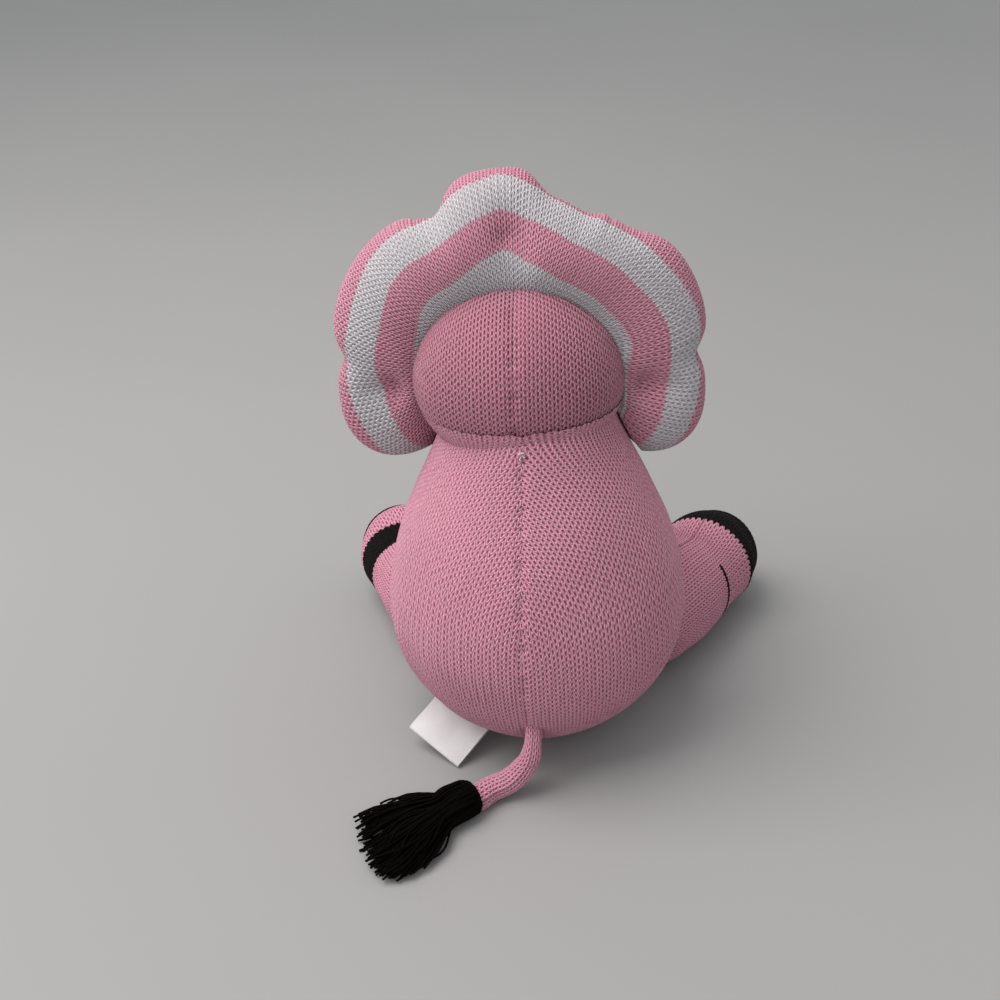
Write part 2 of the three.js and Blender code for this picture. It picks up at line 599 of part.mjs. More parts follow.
// Tassel: a bundle of yarn tied round the end of the tail, fanning out flat on the floor.
function tasselSolid() {
  const ahead = level(90 + TASSEL_ANGLE);
  const across = vec(-ahead.y, ahead.x, 0);
  const collar = TAIL_END_RADIUS + TASSEL_BIND;
  // Share of its length, half width, half thickness
  const stations = [
    [0.04, collar, collar],
    [0.12, collar + 1, collar],
    [0.24, collar + 1.4, collar],
    [0.36, collar + 1, TASSEL_THICKNESS],
    [0.52, TASSEL_SPREAD * 0.6, TASSEL_THICKNESS],
    [0.7, TASSEL_SPREAD * 0.8, TASSEL_THICKNESS * 0.9],
    [0.86, TASSEL_SPREAD * 0.94, TASSEL_THICKNESS * 0.75],
    [1, TASSEL_SPREAD, TASSEL_THICKNESS * 0.5],
  ];
  const sides = 16;
  const rings = stations.map(([share, wide, thick]) => {
    const middle = tailEnd.clone().addScaledVector(ahead, share * TASSEL_LENGTH).setZ(thick - SEAT_CUT / 5);
    return Array.from({ length: sides }, (_, j) => {
      const a = (2 * Math.PI * j) / sides;
      const trail = -5 * smooth(share, 0.3, 1) * Math.cos(a) ** 2;
      return middle
        .clone()
        .addScaledVector(across, wide * Math.cos(a))
        .addScaledVector(ahead, trail)
        .add(vec(0, 0, thick * Math.sin(a)));
    });
  });
  return skin(rings).subtract(floorBelow(0));
}

const tassel = tasselSolid().subtract(ballHollow(tailEnd, TAIL_END_RADIUS + GAP, 14, 8));

// Label: a ribbon folded in half, its two leaves sewn into the seam.
function label() {
  const shut = LABEL_LEAF * 2 + LABEL_SLOT;
  const bend = shut / 2;
  const seam = -shut;
  const profile = [
    [seam, 0],
    [seam, LABEL_LEAF],
    [LABEL_LENGTH - bend, LABEL_LEAF],
    [LABEL_LENGTH - bend, shut - LABEL_LEAF],
    [seam, shut - LABEL_LEAF],
    [seam, shut],
    [LABEL_LENGTH - bend, shut],
    [LABEL_LENGTH, bend],
    [LABEL_LENGTH - bend, 0],
  ];
  const shape = new THREE.Shape(profile.map(([x, y]) => new THREE.Vector2(x, y)));
  const ribbon = new THREE.ExtrudeGeometry(shape, { depth: LABEL_WIDTH, bevelEnabled: false });
  ribbon.translate(0, 0, -LABEL_WIDTH / 2);
  const along = level(LABEL_ANGLE + LABEL_TURN).multiplyScalar(Math.cos(rad(LABEL_DIP)));
  along.setZ(-Math.sin(rad(LABEL_DIP)));
  const across = UP.clone().cross(along).normalize().applyAxisAngle(along, rad(LABEL_ROLL));
  const root = bodySurface(LABEL_ANGLE, LABEL_HEIGHT);
  const place = new THREE.Matrix4().makeBasis(along, across.clone().cross(along), across);
  place.setPosition(root);
  return clearedOf(solidOf(ribbon.applyMatrix4(place)), bodyWhole, root, across, LABEL_LIMITS, 3);
}

// The tied end of the back seam
const knotHalves = [KNOT_RADIUS, KNOT_RADIUS, KNOT_RADIUS * 1.1];
const knot = largest(
  ellipsoid(bodySurface(180, NECK_HEIGHT - KNOT_DROP), knotHalves, 10, 6).subtract(bodyWhole),
);

const soft = (colour) => new THREE.MeshStandardMaterial({ color: colour, roughness: 0.95, metalness: 0 });
const satin = new THREE.MeshStandardMaterial({ color: SATIN, roughness: 0.4, metalness: 0 });
const lion = new THREE.Group();

function add(name, solid, material) {
  const mesh = new THREE.Mesh(geometryOf(solid), material);
  mesh.name = name;
  lion.add(mesh);
}

add("body_cover", bodyCover, soft(PINK));
add("body_filling", bodyFilling, soft(FIBRE));
add("back_seam_knot", knot, soft(WHITE));
add("neck_thread", onTheSkew(neckThread), soft(PINK));
add("head_cover", onTheSkew(headCover), soft(PINK));
add("head_filling", onTheSkew(headFilling), soft(FIBRE));
add("mane_cover", onTheSkew(maneCover), soft(WHITE));
add("mane_filling", onTheSkew(maneFilling), soft(FIBRE));
add("muzzle", onTheSkew(largest(muzzle(0).subtract(headNear).subtract(maneNear))), soft(WHITE));
add("nose", onTheSkew(nose), soft(DARK));
add("mouth", onTheSkew(mouth), soft(DARK));
for (const [name, side] of [["left", 1], ["right", -1]]) {
  add(`${name}_eye`, onTheSkew(eye(side)), soft(DARK));
  add(`${name}_ear`, onTheSkew(ear(side)), soft(PINK));
  const [thisLeg, thisArm] = [leg(side), arm(side)];
  add(`${name}_leg_cover`, thisLeg.cover, soft(PINK));
  add(`${name}_leg_filling`, thisLeg.filling, soft(FIBRE));
  add(`${name}_arm_cover`, thisArm.cover, soft(PINK));
  add(`${name}_arm_filling`, thisArm.filling, soft(FIBRE));
}
add("tail", tail, soft(PINK));
add("tassel", tassel, soft(DARK));
add("label", label(), satin);

export default lion;
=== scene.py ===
"""A knitted plush lion, seen from behind.

The stitches, seams, tucks and folds are in the meshes. The colours and the fibres are in the materials.
"""

import math

import bpy
import numpy as np
from mathutils import Matrix, Vector


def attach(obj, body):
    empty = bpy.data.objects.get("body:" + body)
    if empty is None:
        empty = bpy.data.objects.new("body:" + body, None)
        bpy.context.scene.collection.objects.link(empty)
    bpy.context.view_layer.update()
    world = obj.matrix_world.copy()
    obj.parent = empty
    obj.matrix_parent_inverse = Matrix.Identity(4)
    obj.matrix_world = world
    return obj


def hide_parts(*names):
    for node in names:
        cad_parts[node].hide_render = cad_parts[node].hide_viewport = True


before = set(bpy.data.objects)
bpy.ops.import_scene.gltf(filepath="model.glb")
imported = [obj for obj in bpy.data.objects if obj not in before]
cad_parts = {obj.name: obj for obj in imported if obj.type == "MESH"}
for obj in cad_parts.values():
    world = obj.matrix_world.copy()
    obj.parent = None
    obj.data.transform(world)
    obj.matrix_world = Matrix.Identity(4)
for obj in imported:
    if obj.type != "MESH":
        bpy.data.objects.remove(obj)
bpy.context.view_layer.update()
scene = bpy.context.scene

# Lengths are in millimetres and angles in degrees until a mesh is made.
MM = 0.001
UP = np.array([0.0, 0.0, 1.0])
CLEAR = 0.7  # what the body's knit keeps from the round ends of the limbs
MANE_CLEAR = 1.0  # and the mane from the body
OFF_FLOOR = 0.02

# Knitting
WALE = 2.2  # width of a column of stitches
COURSE = 1.77  # height of a row
HOLE_WIDTH = 0.15  # half width of the hole between the legs of the loops, in columns, drawn dark with painted shade
HOLE_HEIGHT = 0.47  # its half height, in rows
ZIGZAG = 0.48  # rows that the edge of a stripe climbs over half a column
LEG_CLIMB = 3.0  # rows that a loop's leg climbs over a column
RELIEF = 0.5  # from the holes to the crowns of the yarn
COLUMN_LEAN = {1: 0.62, -1: 0.85}  # how steeply the body's columns lean to the back seam, left and right
LEAN_REACH = 45.0  # how far from the seam they do so
ROW_REACH = 14.0  # and how far its rows climb away from it

# The body
BELLY_RADIUS = 44.5
BELLY_HEIGHT = 42.0
BELLY_ROUNDNESS = 1.9
SEAT_CUT = 0.5
NECK_RADIUS = 22.0
NECK_HEIGHT = 110.0
NECK_LIP = 3.5  # how far the knit turns inward over the edge of the neck
NECK_LIP_LENGTH = 3.8
SHOULDER_FULLNESS = 0.64

# The head
HEAD_MIDDLE = np.array([3.0, -2.5, 116.5])
HEAD_HALVES = np.array([30.0, 27.0, 27.0])
HEAD_ROW_RADIUS = 27.3  # round which its rows are counted
HEAD_TURN = 3.0
HEAD_CUP = np.array([30.0, 27.6, 27.0]) + 0.35
NOD_LIMITS = (-12.0, 3.0)

# The mane
MANE_WIDTH = 31.5
MANE_CHEEK_WIDTH = 27.0
MANE_CHEST_WIDTH = 21.0
MANE_THICKNESS = 15.0
MANE_SEAM_BACK = 5.0
MANE_CHEEK_BACK = 4.0
MANE_LEAN = 24.0
MANE_CHEEK = 100.0
MANE_NECK_DROP = 11.5
MANE_CHEST_SLOPE = 52.0
SEAM_SINK = 2.0
LOBE_NOTCHES = (32.0, 81.5, 136.0, 180.0)
LOBE_DEPTH = 4.0
# How deep the rim falls away beside the crown, at which angle, and how far that reaches to each side
CROWN_SAG = (6.4, 17.5, 11.3)
OUTER_SAG = (3.4, 38.0, 9.0)
LEFT_SAG = (5.0, 25.5, 6.0)
TUCKS = (0.0, 88.0)
TUCK_PULL = 1.5
TUCK_REACH = 9.0
MANE_MEETING = 3.55  # degrees that its two ends are drawn together over the chest
MANE_WALES = 180
MANE_ROWS = 50  # from the sewn edge, over the rim, to the sewn edge again
MANE_EDGES = (8, 14, 19.5, 30.5, 36, 42)  # rows where white turns to pink, back to white and so on
# On its left and on its right: the angle, the width seen of the inner white, and the width of the pink
MANE_STRIPES = {
    1: (
        (0, 4.5, 9, 14, 23, 32, 42, 51, 60, 68, 80, 88, 97, 105, 130, 180),
        (9.4, 10.4, 9.4, 8.7, 6.6, 5.0, 5.2, 4.2, 1.9, 0.4, -0.6, -1.6, -1.0, 1.0, 4, 5),
        (10.6, 10.6, 10.6, 10.6, 10.6, 10.6, 10.6, 10.6, 10.6, 10.6, 10.6, 10.2, 8.8, 8.6, 10, 10),
    ),
    -1: (
        (0, 5, 14, 23, 32, 42, 51, 60, 70, 76, 80, 88, 97, 105, 130, 180),
        (9.4, 7.4, 6.0, 4.5, 4.4, 4.2, 3.4, 3.5, 3.6, 2.0, 0.2, 0.0, 1.4, 2.5, 5, 5),
        (10.6, 10.8, 10.8, 10.6, 10.2, 10.2, 10.4, 10.8, 10.8, 11.4, 12.2, 11.4, 10.4, 10, 10, 10),
    ),
}

# Limbs
HIP_RADIUS = 16.0
THIGH_RADIUS = 17.0
ANKLE_RADIUS = 15.6
FOOT_RADIUS = 17.0
FOOT_TAPER = 0.87  # the toes' radius, in parts of the foot's
LIMB_OPENING = 25.0  # degrees from the pole of its root ball where a limb's knit starts
HIP_ANGLE = 52.0
HIP_HEIGHT = 17.0
HIP_PROUD = 7.0
LEG_SPLAY = 29.0
LEG_LENGTH = 51.0
FOOT_TURN = 4.0
LEG_EDGES = (10, 16, 22, 28)  # rows where pink turns dark, back to pink and so on
LEFT_LEG_BANDS = (26.5, 37.5, 47.0, 57.5)  # and how far from the hip that is
RIGHT_LEG_BANDS = (26.8, 40.3, 54.0)  # the first of them is no more than a line, and ends here
SHOULDER_RADIUS = 8.5
PAW_RADIUS = 9.5
SHOULDER_ANGLE = 29.0
SHOULDER_HEIGHT = 64.0
SHOULDER_PROUD = 3.0
ARM_DROP = 22.0
ARM_INWARD = 7.0

# The tail, its tassel and the label
TAIL_ROOT_HEIGHT = 22.0
TAIL_RADII = (1.75, 3.3, 3.75)
TASSEL_ANGLE = 38.0
TASSEL_LENGTH = 35.0
TASSEL_SPREAD = 15.0
TASSEL_THICKNESS = 4.0
TASSEL_BIND = 1.3
TASSEL_YARNS = 430
TASSEL_LOCKS = 34
LABEL_WIDTH = 20.0
LABEL_LENGTH = 14.0
LABEL_ANGLE = 130.0
LABEL_WAY = 138.0
LABEL_HEIGHT = 11.0
LABEL_HELD = 1.4  # the length of each leaf in the seam
LABEL_DIP = 28.0
LABEL_ROLL = -20.0
LABEL_SHUT = 1.4
RIBBON_HALF = 0.17  # half of its thickness

# The face and the ears
MUZZLE_MIDDLE = HEAD_MIDDLE + np.array([0, -25.0, -0.5])
MUZZLE_HALVES = np.array([12.5, 10.0, 8.5])
EYE_APART = 11.0
EYE_RISE = 9.0
EYE_HALVES = (2.2, 2.7)
NOSE_TOP = 6.12
NOSE_HEIGHT = 5.4
NOSE_HALF_WIDTH = 4.5
MOUTH_DROP = 3.0
MOUTH_REACH = 4.0
EAR_HALVES = np.array([9.0, 2.75, 8.5])
EAR_SINK = 3.4
EAR_TURN = 46.0
EAR_FORWARD = 15.0
MUZZLE_KNIT = (11.0, 1.5, 34)  # its radius, the height of a row and the number of columns
EAR_KNIT = (8.6, 1.6, 22)
SMALL_RELIEF = 0.4
STITCH_WIDTH = 0.62
NECK_THREAD_DROP = 21.5

# Yarn colours, linear. The darker colour of each yarn, save the satin's, is painted shade for the holes and
# grooves between its loops and plies.
PINK = (0.76, 0.36, 0.45, 1)
PINK_SHADED = (0.27, 0.082, 0.125, 1)
# The head's yarn: the pink darkened as painted shade from the mane over the head
HEAD_PINK_SHADED = (0.56, 0.25, 0.315, 1)
HEAD_PINK_SHADED_HOLES = (0.19, 0.052, 0.08, 1)
WHITE = (0.66, 0.64, 0.65, 1)
WHITE_SHADED = (0.32, 0.30, 0.305, 1)
DARK = (0.0035, 0.0025, 0.0018, 1)
DARK_SHADED = (0.0008, 0.0006, 0.0005, 1)
PALE = (0.74, 0.54, 0.59, 1)
PALE_SHADED = (0.5, 0.3, 0.36, 1)
SATIN = (0.61, 0.585, 0.575, 1)
SATIN_DEEP = (0.52, 0.485, 0.485, 1)

chance = np.random.default_rng(7)


def level(degrees):
    """The level direction at some degrees round from straight ahead, towards the lion's left."""
    turn = np.radians(np.asarray(degrees, float))
    return np.stack([np.sin(turn), -np.cos(turn), np.zeros_like(turn)], axis=-1)


def smooth(value, low, high):
    share = np.clip((value - low) / (high - low), 0, 1)
    return share * share * (3 - 2 * share)


def lerp(low, high, share):
    return low + (high - low) * share


def bell(offset, reach, power=2):
    """One where the offset is nothing, and nearly nothing a few reaches away."""
    return np.exp(-((offset / reach) ** power))


def hand(side):
    return "left" if side > 0 else "right"


def unit(vectors):
    length = np.linalg.norm(vectors, axis=-1, keepdims=True)
    return vectors / np.maximum(length, 1e-9)


def distances(steps):
    """How far it is from the start to each place, along steps of these lengths."""
    return np.concatenate([[0], np.cumsum(steps)])


def ripple(points, size, seed):
    """Soft, even noise between -1 and 1 that repeats nowhere near the lion's size."""
    spin = np.random.default_rng(seed)
    total = np.zeros(points.shape[:-1])
    for _ in range(6):
        way = spin.normal(size=3)
        total += np.sin(points @ way / size + spin.uniform(0, 6.3))
    return total / 4


def turned(points, middle, axis, degrees):
    spin = np.array(Matrix.Rotation(math.radians(degrees), 3, Vector(axis)))
    return (points - middle) @ spin.T + middle


# Shapes that pieces keep clear of

def body_radius(z):
    z = np.asarray(z, float)
    drop = np.clip((BELLY_HEIGHT - z) / (BELLY_HEIGHT + SEAT_CUT), 0, 1)
    below = BELLY_RADIUS * (1 - drop**BELLY_ROUNDNESS) ** (1 / BELLY_ROUNDNESS)
    rise = np.clip((z - BELLY_HEIGHT) / (NECK_HEIGHT - BELLY_HEIGHT), 0, 1)
    share = (0.5 + 0.5 * np.cos(np.pi * rise)) ** SHOULDER_FULLNESS
    above = NECK_RADIUS + (BELLY_RADIUS - NECK_RADIUS) * share
    return np.where(z < BELLY_HEIGHT, below, above)


def body_surface(angle, height, outset=0.0):
    return level(angle) * (body_radius(height) + outset) + UP * height


def out_of_ball(points, middle, halves):
    """Moves the points inside a round hollow out to its wall."""
    offset = (points - middle) / halves
    reach = np.linalg.norm(offset, axis=-1, keepdims=True)
    return np.where(reach < 1, middle + offset / np.maximum(reach, 1e-6) * halves, points)


def out_of_body(points, gap):
    radius = np.linalg.norm(points[..., :2], axis=-1)
    wanted = body_radius(points[..., 2]) + gap
    inside = (radius < wanted) & (points[..., 2] < NECK_HEIGHT) & (radius > 1)
    scale = np.where(inside, wanted / np.maximum(radius, 1), 1)
    return points * np.stack([scale, scale, np.ones_like(scale)], axis=-1)


def clear_of_body(points, gap):
    """Keeps the mane off the body at rest and as the head nods."""
    for nod in (0, *NOD_LIMITS):
        swung = turned(points, HEAD_MIDDLE, (1, 0, 0), nod)
        points = turned(out_of_body(swung, gap), HEAD_MIDDLE, (1, 0, 0), -nod)
    return points


def hip_at(side):
    return body_surface(HIP_ANGLE * side, HIP_HEIGHT, HIP_PROUD)


def shoulder_at(side):
    return body_surface(SHOULDER_ANGLE * side, SHOULDER_HEIGHT, SHOULDER_PROUD)


# Meshes

def piece(name, points, faces, stitch, yarn=(1.0, 0.0, 0.5, 1.0)):
    """A smooth mesh piece. stitch is each point's place in its yarn, and yarn's green lets bands show."""
    mesh = bpy.data.meshes.new(name)
    mesh.from_pydata((points * MM).tolist(), [], faces)
    mesh.shade_smooth()
    tints = mesh.attributes.new("yarn", "FLOAT_COLOR", "POINT")
    tints.data.foreach_set("color", np.broadcast_to(yarn, (len(points), 4)).astype(np.float32).ravel())
    places = mesh.attributes.new("stitch", "FLOAT_VECTOR", "POINT")
    places.data.foreach_set("vector", stitch.astype(np.float32).ravel())
    made = bpy.data.objects.new(name, mesh)
    scene.collection.objects.link(made)
    return made


def grid_faces(rows, columns, loop, start=0):
    """The faces of a grid of points, whose last column joins its first in a loop."""
    last_column = columns if loop else columns - 1
    i, j = np.meshgrid(np.arange(rows - 1), np.arange(last_column), indexing="ij")
    below = i * columns
    above = below + columns
    right = (j + 1) % columns
    quads = np.stack([below + j, below + right, above + right, above + j], axis=-1)
    return (quads.reshape(-1, 4) + start).tolist()


def grid_normals(grid, loop):
    across = np.roll(grid, -1, 1) - np.roll(grid, 1, 1) if loop else np.gradient(grid, axis=1)
    normals = unit(np.cross(across, np.gradient(grid, axis=0)))
    outward = np.sum(normals * (grid - grid.mean(axis=(0, 1)))) > 0
    return normals if outward else -normals


def round_path(ahead, guide, count):
    """The directions all round each place of a path, without a twist along it, and their angles."""
    over = np.empty_like(ahead)
    for i, way in enumerate(ahead):
        guide = unit(guide - way * np.dot(guide, way))
        over[i] = guide
    beside = np.cross(ahead, over)
    turn = np.linspace(0, 2 * np.pi, count, endpoint=False)
    return np.cos(turn)[None, :, None] * over[:, None] + np.sin(turn)[None, :, None] * beside[:, None], turn


def yarn_height(wale, course):
    """The yarn's height in the knitting, whose holes stand half a column and half a row apart."""
    side = np.abs(np.mod(wale, 1) - 0.5)
    row = np.abs(np.mod(course + 0.5, 1) - 0.5)
    inner = (side / HOLE_WIDTH) ** 2 + (row / HOLE_HEIGHT) ** 2
    outer = ((0.5 - side) / HOLE_WIDTH) ** 2 + ((0.5 - row) / HOLE_HEIGHT) ** 2
    return smooth(np.minimum(inner, outer), 0.0, 1.3)


def knit(name, grid, wale, course, tube=False, stripe=0.0, shown=1.0, dent=0.0, relief=RELIEF, fit=None):
    """A knitted skin over a grid of points. A tube is closed all round and at its ends."""
    rows, columns = grid.shape[:2]
    wale = wale + 0.07 * ripple(grid, 5.0, 1)
    wobble = 0.12 * ripple(grid, 4.0, 2)
    stripe = stripe + wobble
    course = course + wobble
    lift = relief * (yarn_height(wale, course) - 0.5) + dent
    points = grid + grid_normals(grid, tube) * lift[..., None]
    if fit is not None:
        points = fit(points)
    points[..., 2] = np.maximum(points[..., 2], OFF_FLOOR)
    plain = np.ones_like(course)
    yarn = np.stack([plain, plain * shown, 0.5 * plain, plain], axis=-1).reshape(-1, 4)
    stitch = np.stack([wale, course, stripe], axis=-1).reshape(-1, 3)
    faces = grid_faces(rows, columns, tube)
    points = points.reshape(-1, 3)
    for first in (0, (rows - 1) * columns) if tube else ():
        centre = len(points)
        points = np.vstack([points, points[first : first + columns].mean(axis=0)])
        yarn = np.vstack([yarn, yarn[first]])
        stitch = np.vstack([stitch, stitch[first]])
        faces += [(centre, first + j, first + (j + 1) % columns) for j in range(columns)]
    return piece(name, points, faces, stitch, yarn)


def strands(name, paths, radius, sides=6):
    """Round strands of yarn along the paths, closed at both ends."""
    points, faces, yarn, stitch = [], [], [], []
    start = 0
    for at, path in enumerate(paths):
        ahead = unit(np.gradient(path, axis=0))
        guide = UP if abs(ahead[0][2]) < 0.9 else np.array([1.0, 0.0, 0.0])
        ring, _ = round_path(ahead, guide, sides)
        grid = path[:, None] + ring * radius
        points += [grid.reshape(-1, 3), path[:1], path[-1:]]
        faces += grid_faces(len(path), sides, True, start)
        low = start + len(path) * sides
        for j in range(sides):
            k = (j + 1) % sides
            faces.append((low, start + k, start + j))
            faces.append((low + 1, low - sides + j, low - sides + k))
        count = len(path) * sides + 2
        yarn.append(np.tile([1.0, 0.0, chance.uniform(), 1.0], (count, 1)))
        length = distances(np.linalg.norm(np.diff(path, axis=0), axis=1))
        spots = np.zeros((count, 3))
        spots[:-2, 0] = np.tile(np.arange(sides) / sides, len(path))
        spots[:-2, 1] = np.repeat(length, sides)
        spots[:, 2] = at
        stitch.append(spots)
        start += count
    points = np.vstack(points)
    points[:, 2] = np.maximum(points[:, 2], OFF_FLOOR)
    return piece(name, points, faces, np.vstack(stitch), np.vstack(yarn))


def curve(points, places):
    """A centripetal Catmull-Rom curve through the points, at places from 0 to 1."""
    points = np.asarray(points, float)
    count = len(points)
    padded = np.vstack([2 * points[0] - points[1], points, 2 * points[-1] - points[-2]])
    found = []
    for place in np.asarray(places) * (count - 1):
        at = min(int(place), count - 2)
        share = place - at
        p0, p1, p2, p3 = padded[at : at + 4]
        d0, d1, d2 = (np.linalg.norm(b - a) ** 0.5 for a, b in ((p0, p1), (p1, p2), (p2, p3)))
        t1 = ((p1 - p0) / d0 - (p2 - p0) / (d0 + d1) + (p2 - p1) / d1) * d1
        t2 = ((p2 - p1) / d1 - (p3 - p1) / (d1 + d2) + (p3 - p2) / d2) * d1
        c2 = -3 * p1 + 3 * p2 - 2 * t1 - t2
        c3 = 2 * p1 - 2 * p2 + t1 + t2
        found.append(p1 + share * (t1 + share * (c2 + share * c3)))
    return np.array(found)


def limb(points, radii, end_rise, rows, columns):
    """A grid round a limb with a ball at its root, its rows' distances from that and its columns' angles."""
    share = np.linspace(0, 1, 240)
    middle = curve(points, share)
    ahead = unit(np.gradient(middle, axis=0))
    place = share * (len(radii) - 1)
    at = np.minimum(place.astype(int), len(radii) - 2)
    radii = np.asarray(radii, float)
    radius = lerp(radii[at], radii[at + 1], smooth(place - at, 0, 1))
    cap = 60
    root = np.radians(np.linspace(LIMB_OPENING, 88, cap))
    end = np.sin(np.linspace(0.02, 0.5, cap) * np.pi * 0.985)
    middle = np.vstack([
        middle[0] - ahead[0] * radius[0] * np.cos(root)[:, None],
        middle,
        middle[-1] + ahead[-1] * end_rise * end[:, None],
    ])
    radius = np.concatenate([radius[0] * np.sin(root), radius, radius[-1] * np.sqrt(1 - end**2)])
    ahead = np.vstack([np.repeat(ahead[:1], cap, 0), ahead, np.repeat(ahead[-1:], cap, 0)])
    steps = np.hypot(np.linalg.norm(np.diff(middle, axis=0), axis=1), np.diff(radius))
    outline = distances(steps)
    along = np.linspace(0, outline[-1], rows)

    def pick(values):
        return np.stack([np.interp(along, outline, each) for each in np.atleast_2d(values.T)], -1)

    ring, turn = round_path(unit(pick(ahead)), UP, columns)
    grid = pick(middle)[:, None] + ring * pick(radius)[:, None]
    return grid, along - outline[cap], turn


# Materials

class Nodes:
    """A new node material and short calls for the nodes that it uses."""

    def __init__(self, name):
        self.material = bpy.data.materials.new(name)
        self.material.use_nodes = True
        self.tree = self.material.node_tree
        self.shader = self.tree.nodes["Principled BSDF"]

    def add(self, kind, inputs=None, **settings):
        made = self.tree.nodes.new(kind)
        for key, value in settings.items():
            setattr(made, key, value)
        for key, value in (inputs or {}).items():
            self.put(made.inputs[key], value)
        return made

    def put(self, socket, value):
        if isinstance(value, bpy.types.NodeSocket):
            self.tree.links.new(value, socket)
        else:
            socket.default_value = value

    def stitch(self):
        """The three numbers of the place in the yarn."""
        place = self.add("ShaderNodeAttribute", attribute_name="stitch").outputs["Vector"]
        return self.add("ShaderNodeSeparateXYZ", {0: place}).outputs

    def math(self, operation, *values):
        made = self.add("ShaderNodeMath", operation=operation)
        for socket, value in zip(made.inputs, values):
            self.put(socket, value)
        return made.outputs[0]

    def mix(self, share, first, second, blend="MIX"):
        made = self.add("ShaderNodeMix", data_type="RGBA", blend_type=blend)
        self.put(made.inputs[0], share)
        self.put(made.inputs[6], first)
        self.put(made.inputs[7], second)
        return made.outputs[2]

    def tint(self, colour, share, value, shade):
        """A share of a shade over the colour, where the value is low."""
        return self.mix(share, colour, self.mix(value, shade, (1.0, 1.0, 1.0, 1)), "MULTIPLY")

    def noise(self, scale, detail, roughness=0.5):
        where = self.add("ShaderNodeTexCoord").outputs["Object"]
        inputs = {"Vector": where, "Scale": scale, "Detail": detail, "Roughness": roughness}
        return self.add("ShaderNodeTexNoise", inputs).outputs[0]

    def ramp(self, value, low, high, way="LINEAR"):
        made = self.add("ShaderNodeMapRange", {0: value, 1: low, 2: high}, interpolation_type=way)
        return made.outputs[0]

    def bump(self, height, distance, strength):
        made = self.add("ShaderNodeBump", {"Height": height, "Distance": distance, "Strength": strength})
        return made.outputs[0]

    def shade(self, **values):
        for key, value in values.items():
            self.put(self.shader.inputs[key.replace("_", " ")], value)


def fuzz(made, colour, lucky):
    """Fine fibres and small changes of shade over a yarn's colour, and the fibres' height."""
    patch = made.ramp(made.noise(scale=38.0, detail=4.0), 0.3, 0.7)
    colour = made.tint(colour, 0.35, patch, (0.80, 0.74, 0.77, 1))
    colour = made.tint(colour, 0.8, lucky, (0.82, 0.80, 0.81, 1))
    fibre = made.ramp(made.noise(scale=2600.0, detail=3.0, roughness=0.7), 0.3, 0.7)
    return made.tint(colour, 0.5, fibre, (0.72, 0.68, 0.70, 1)), fibre


def knit_material(name, first, first_shaded, second=None, second_shaded=None, edges=(), sheen=0.1):
    """Stocking stitch: holes between the legs of the loops and lines between the legs, darkened with painted
    shade, and stripes with the loops' zigzag edge.
    """
    made = Nodes(name)
    wale, course, stripe = made.stitch()

    def off_middle(value):
        return made.math("ABSOLUTE", made.math("SUBTRACT", made.math("FRACT", value), 0.5))

    side = off_middle(wale)
    row = off_middle(made.math("ADD", course, 0.5))
    cell = made.add("ShaderNodeCombineXYZ", {0: made.math("FLOOR", wale), 1: made.math("FLOOR", course)})
    lucky = made.add("ShaderNodeTexWhiteNoise", {"Vector": cell.outputs[0]}).outputs["Value"]

    def hole(beside, above):
        wide = made.math("POWER", made.math("DIVIDE", beside, HOLE_WIDTH), 2.0)
        tall = made.math("POWER", made.math("DIVIDE", above, HOLE_HEIGHT), 2.0)
        return made.math("ADD", wide, tall)

    inner = hole(side, row)
    outer = hole(made.math("SUBTRACT", 0.5, side), made.math("SUBTRACT", 0.5, row))
    reach = made.math("ADD", 0.7, made.math("MULTIPLY", lucky, 0.9))
    closed = made.math("DIVIDE", made.math("MINIMUM", inner, outer), reach)
    height = made.ramp(closed, 0.0, 1.0, "SMOOTHSTEP")
    # The line between one loop's leg and the next: lower in the bump, and darker with painted shade
    from_leg = off_middle(made.math("SUBTRACT", course, made.math("MULTIPLY", side, LEG_CLIMB)))
    between = made.ramp(from_leg, 0.08, 0.5, "SMOOTHSTEP")
    height = made.math("MULTIPLY", height, made.math("SUBTRACT", 1.0, made.math("MULTIPLY", between, 0.5)))
    top, shaded = first, first_shaded
    if edges:
        phase = made.math("SUBTRACT", stripe, made.math("MULTIPLY", side, 2 * ZIGZAG))
        count = 0.0
        for edge in edges:
            count = made.math("ADD", count, made.math("GREATER_THAN", phase, float(edge)))
        yarn = made.add("ShaderNodeAttribute", attribute_name="yarn").outputs["Color"]
        shown = made.add("ShaderNodeSeparateColor", {0: yarn}).outputs[1]
        other = made.math("MULTIPLY", made.math("MODULO", count, 2.0), made.math("GREATER_THAN", shown, 0.5))
        top = made.mix(other, first, second)
        shaded = made.mix(other, first_shaded, second_shaded)
    # Painted shade: low yarn, in the holes and on the lines between legs, takes the shaded colour
    colour = made.mix(made.ramp(height, 0.0, 0.95), shaded, top)
    colour, fibre = fuzz(made, colour, lucky)
    relief = made.math("ADD", height, made.math("MULTIPLY", fibre, 0.25))
    made.shade(Base_Color=colour, Roughness=0.9, Normal=made.bump(relief, 0.0005, 0.8))
    made.shade(Sheen_Weight=sheen, Sheen_Roughness=0.45, Sheen_Tint=(1.0, 0.8, 0.86, 1))
    made.shade(Specular_IOR_Level=0.15)
    return made.material


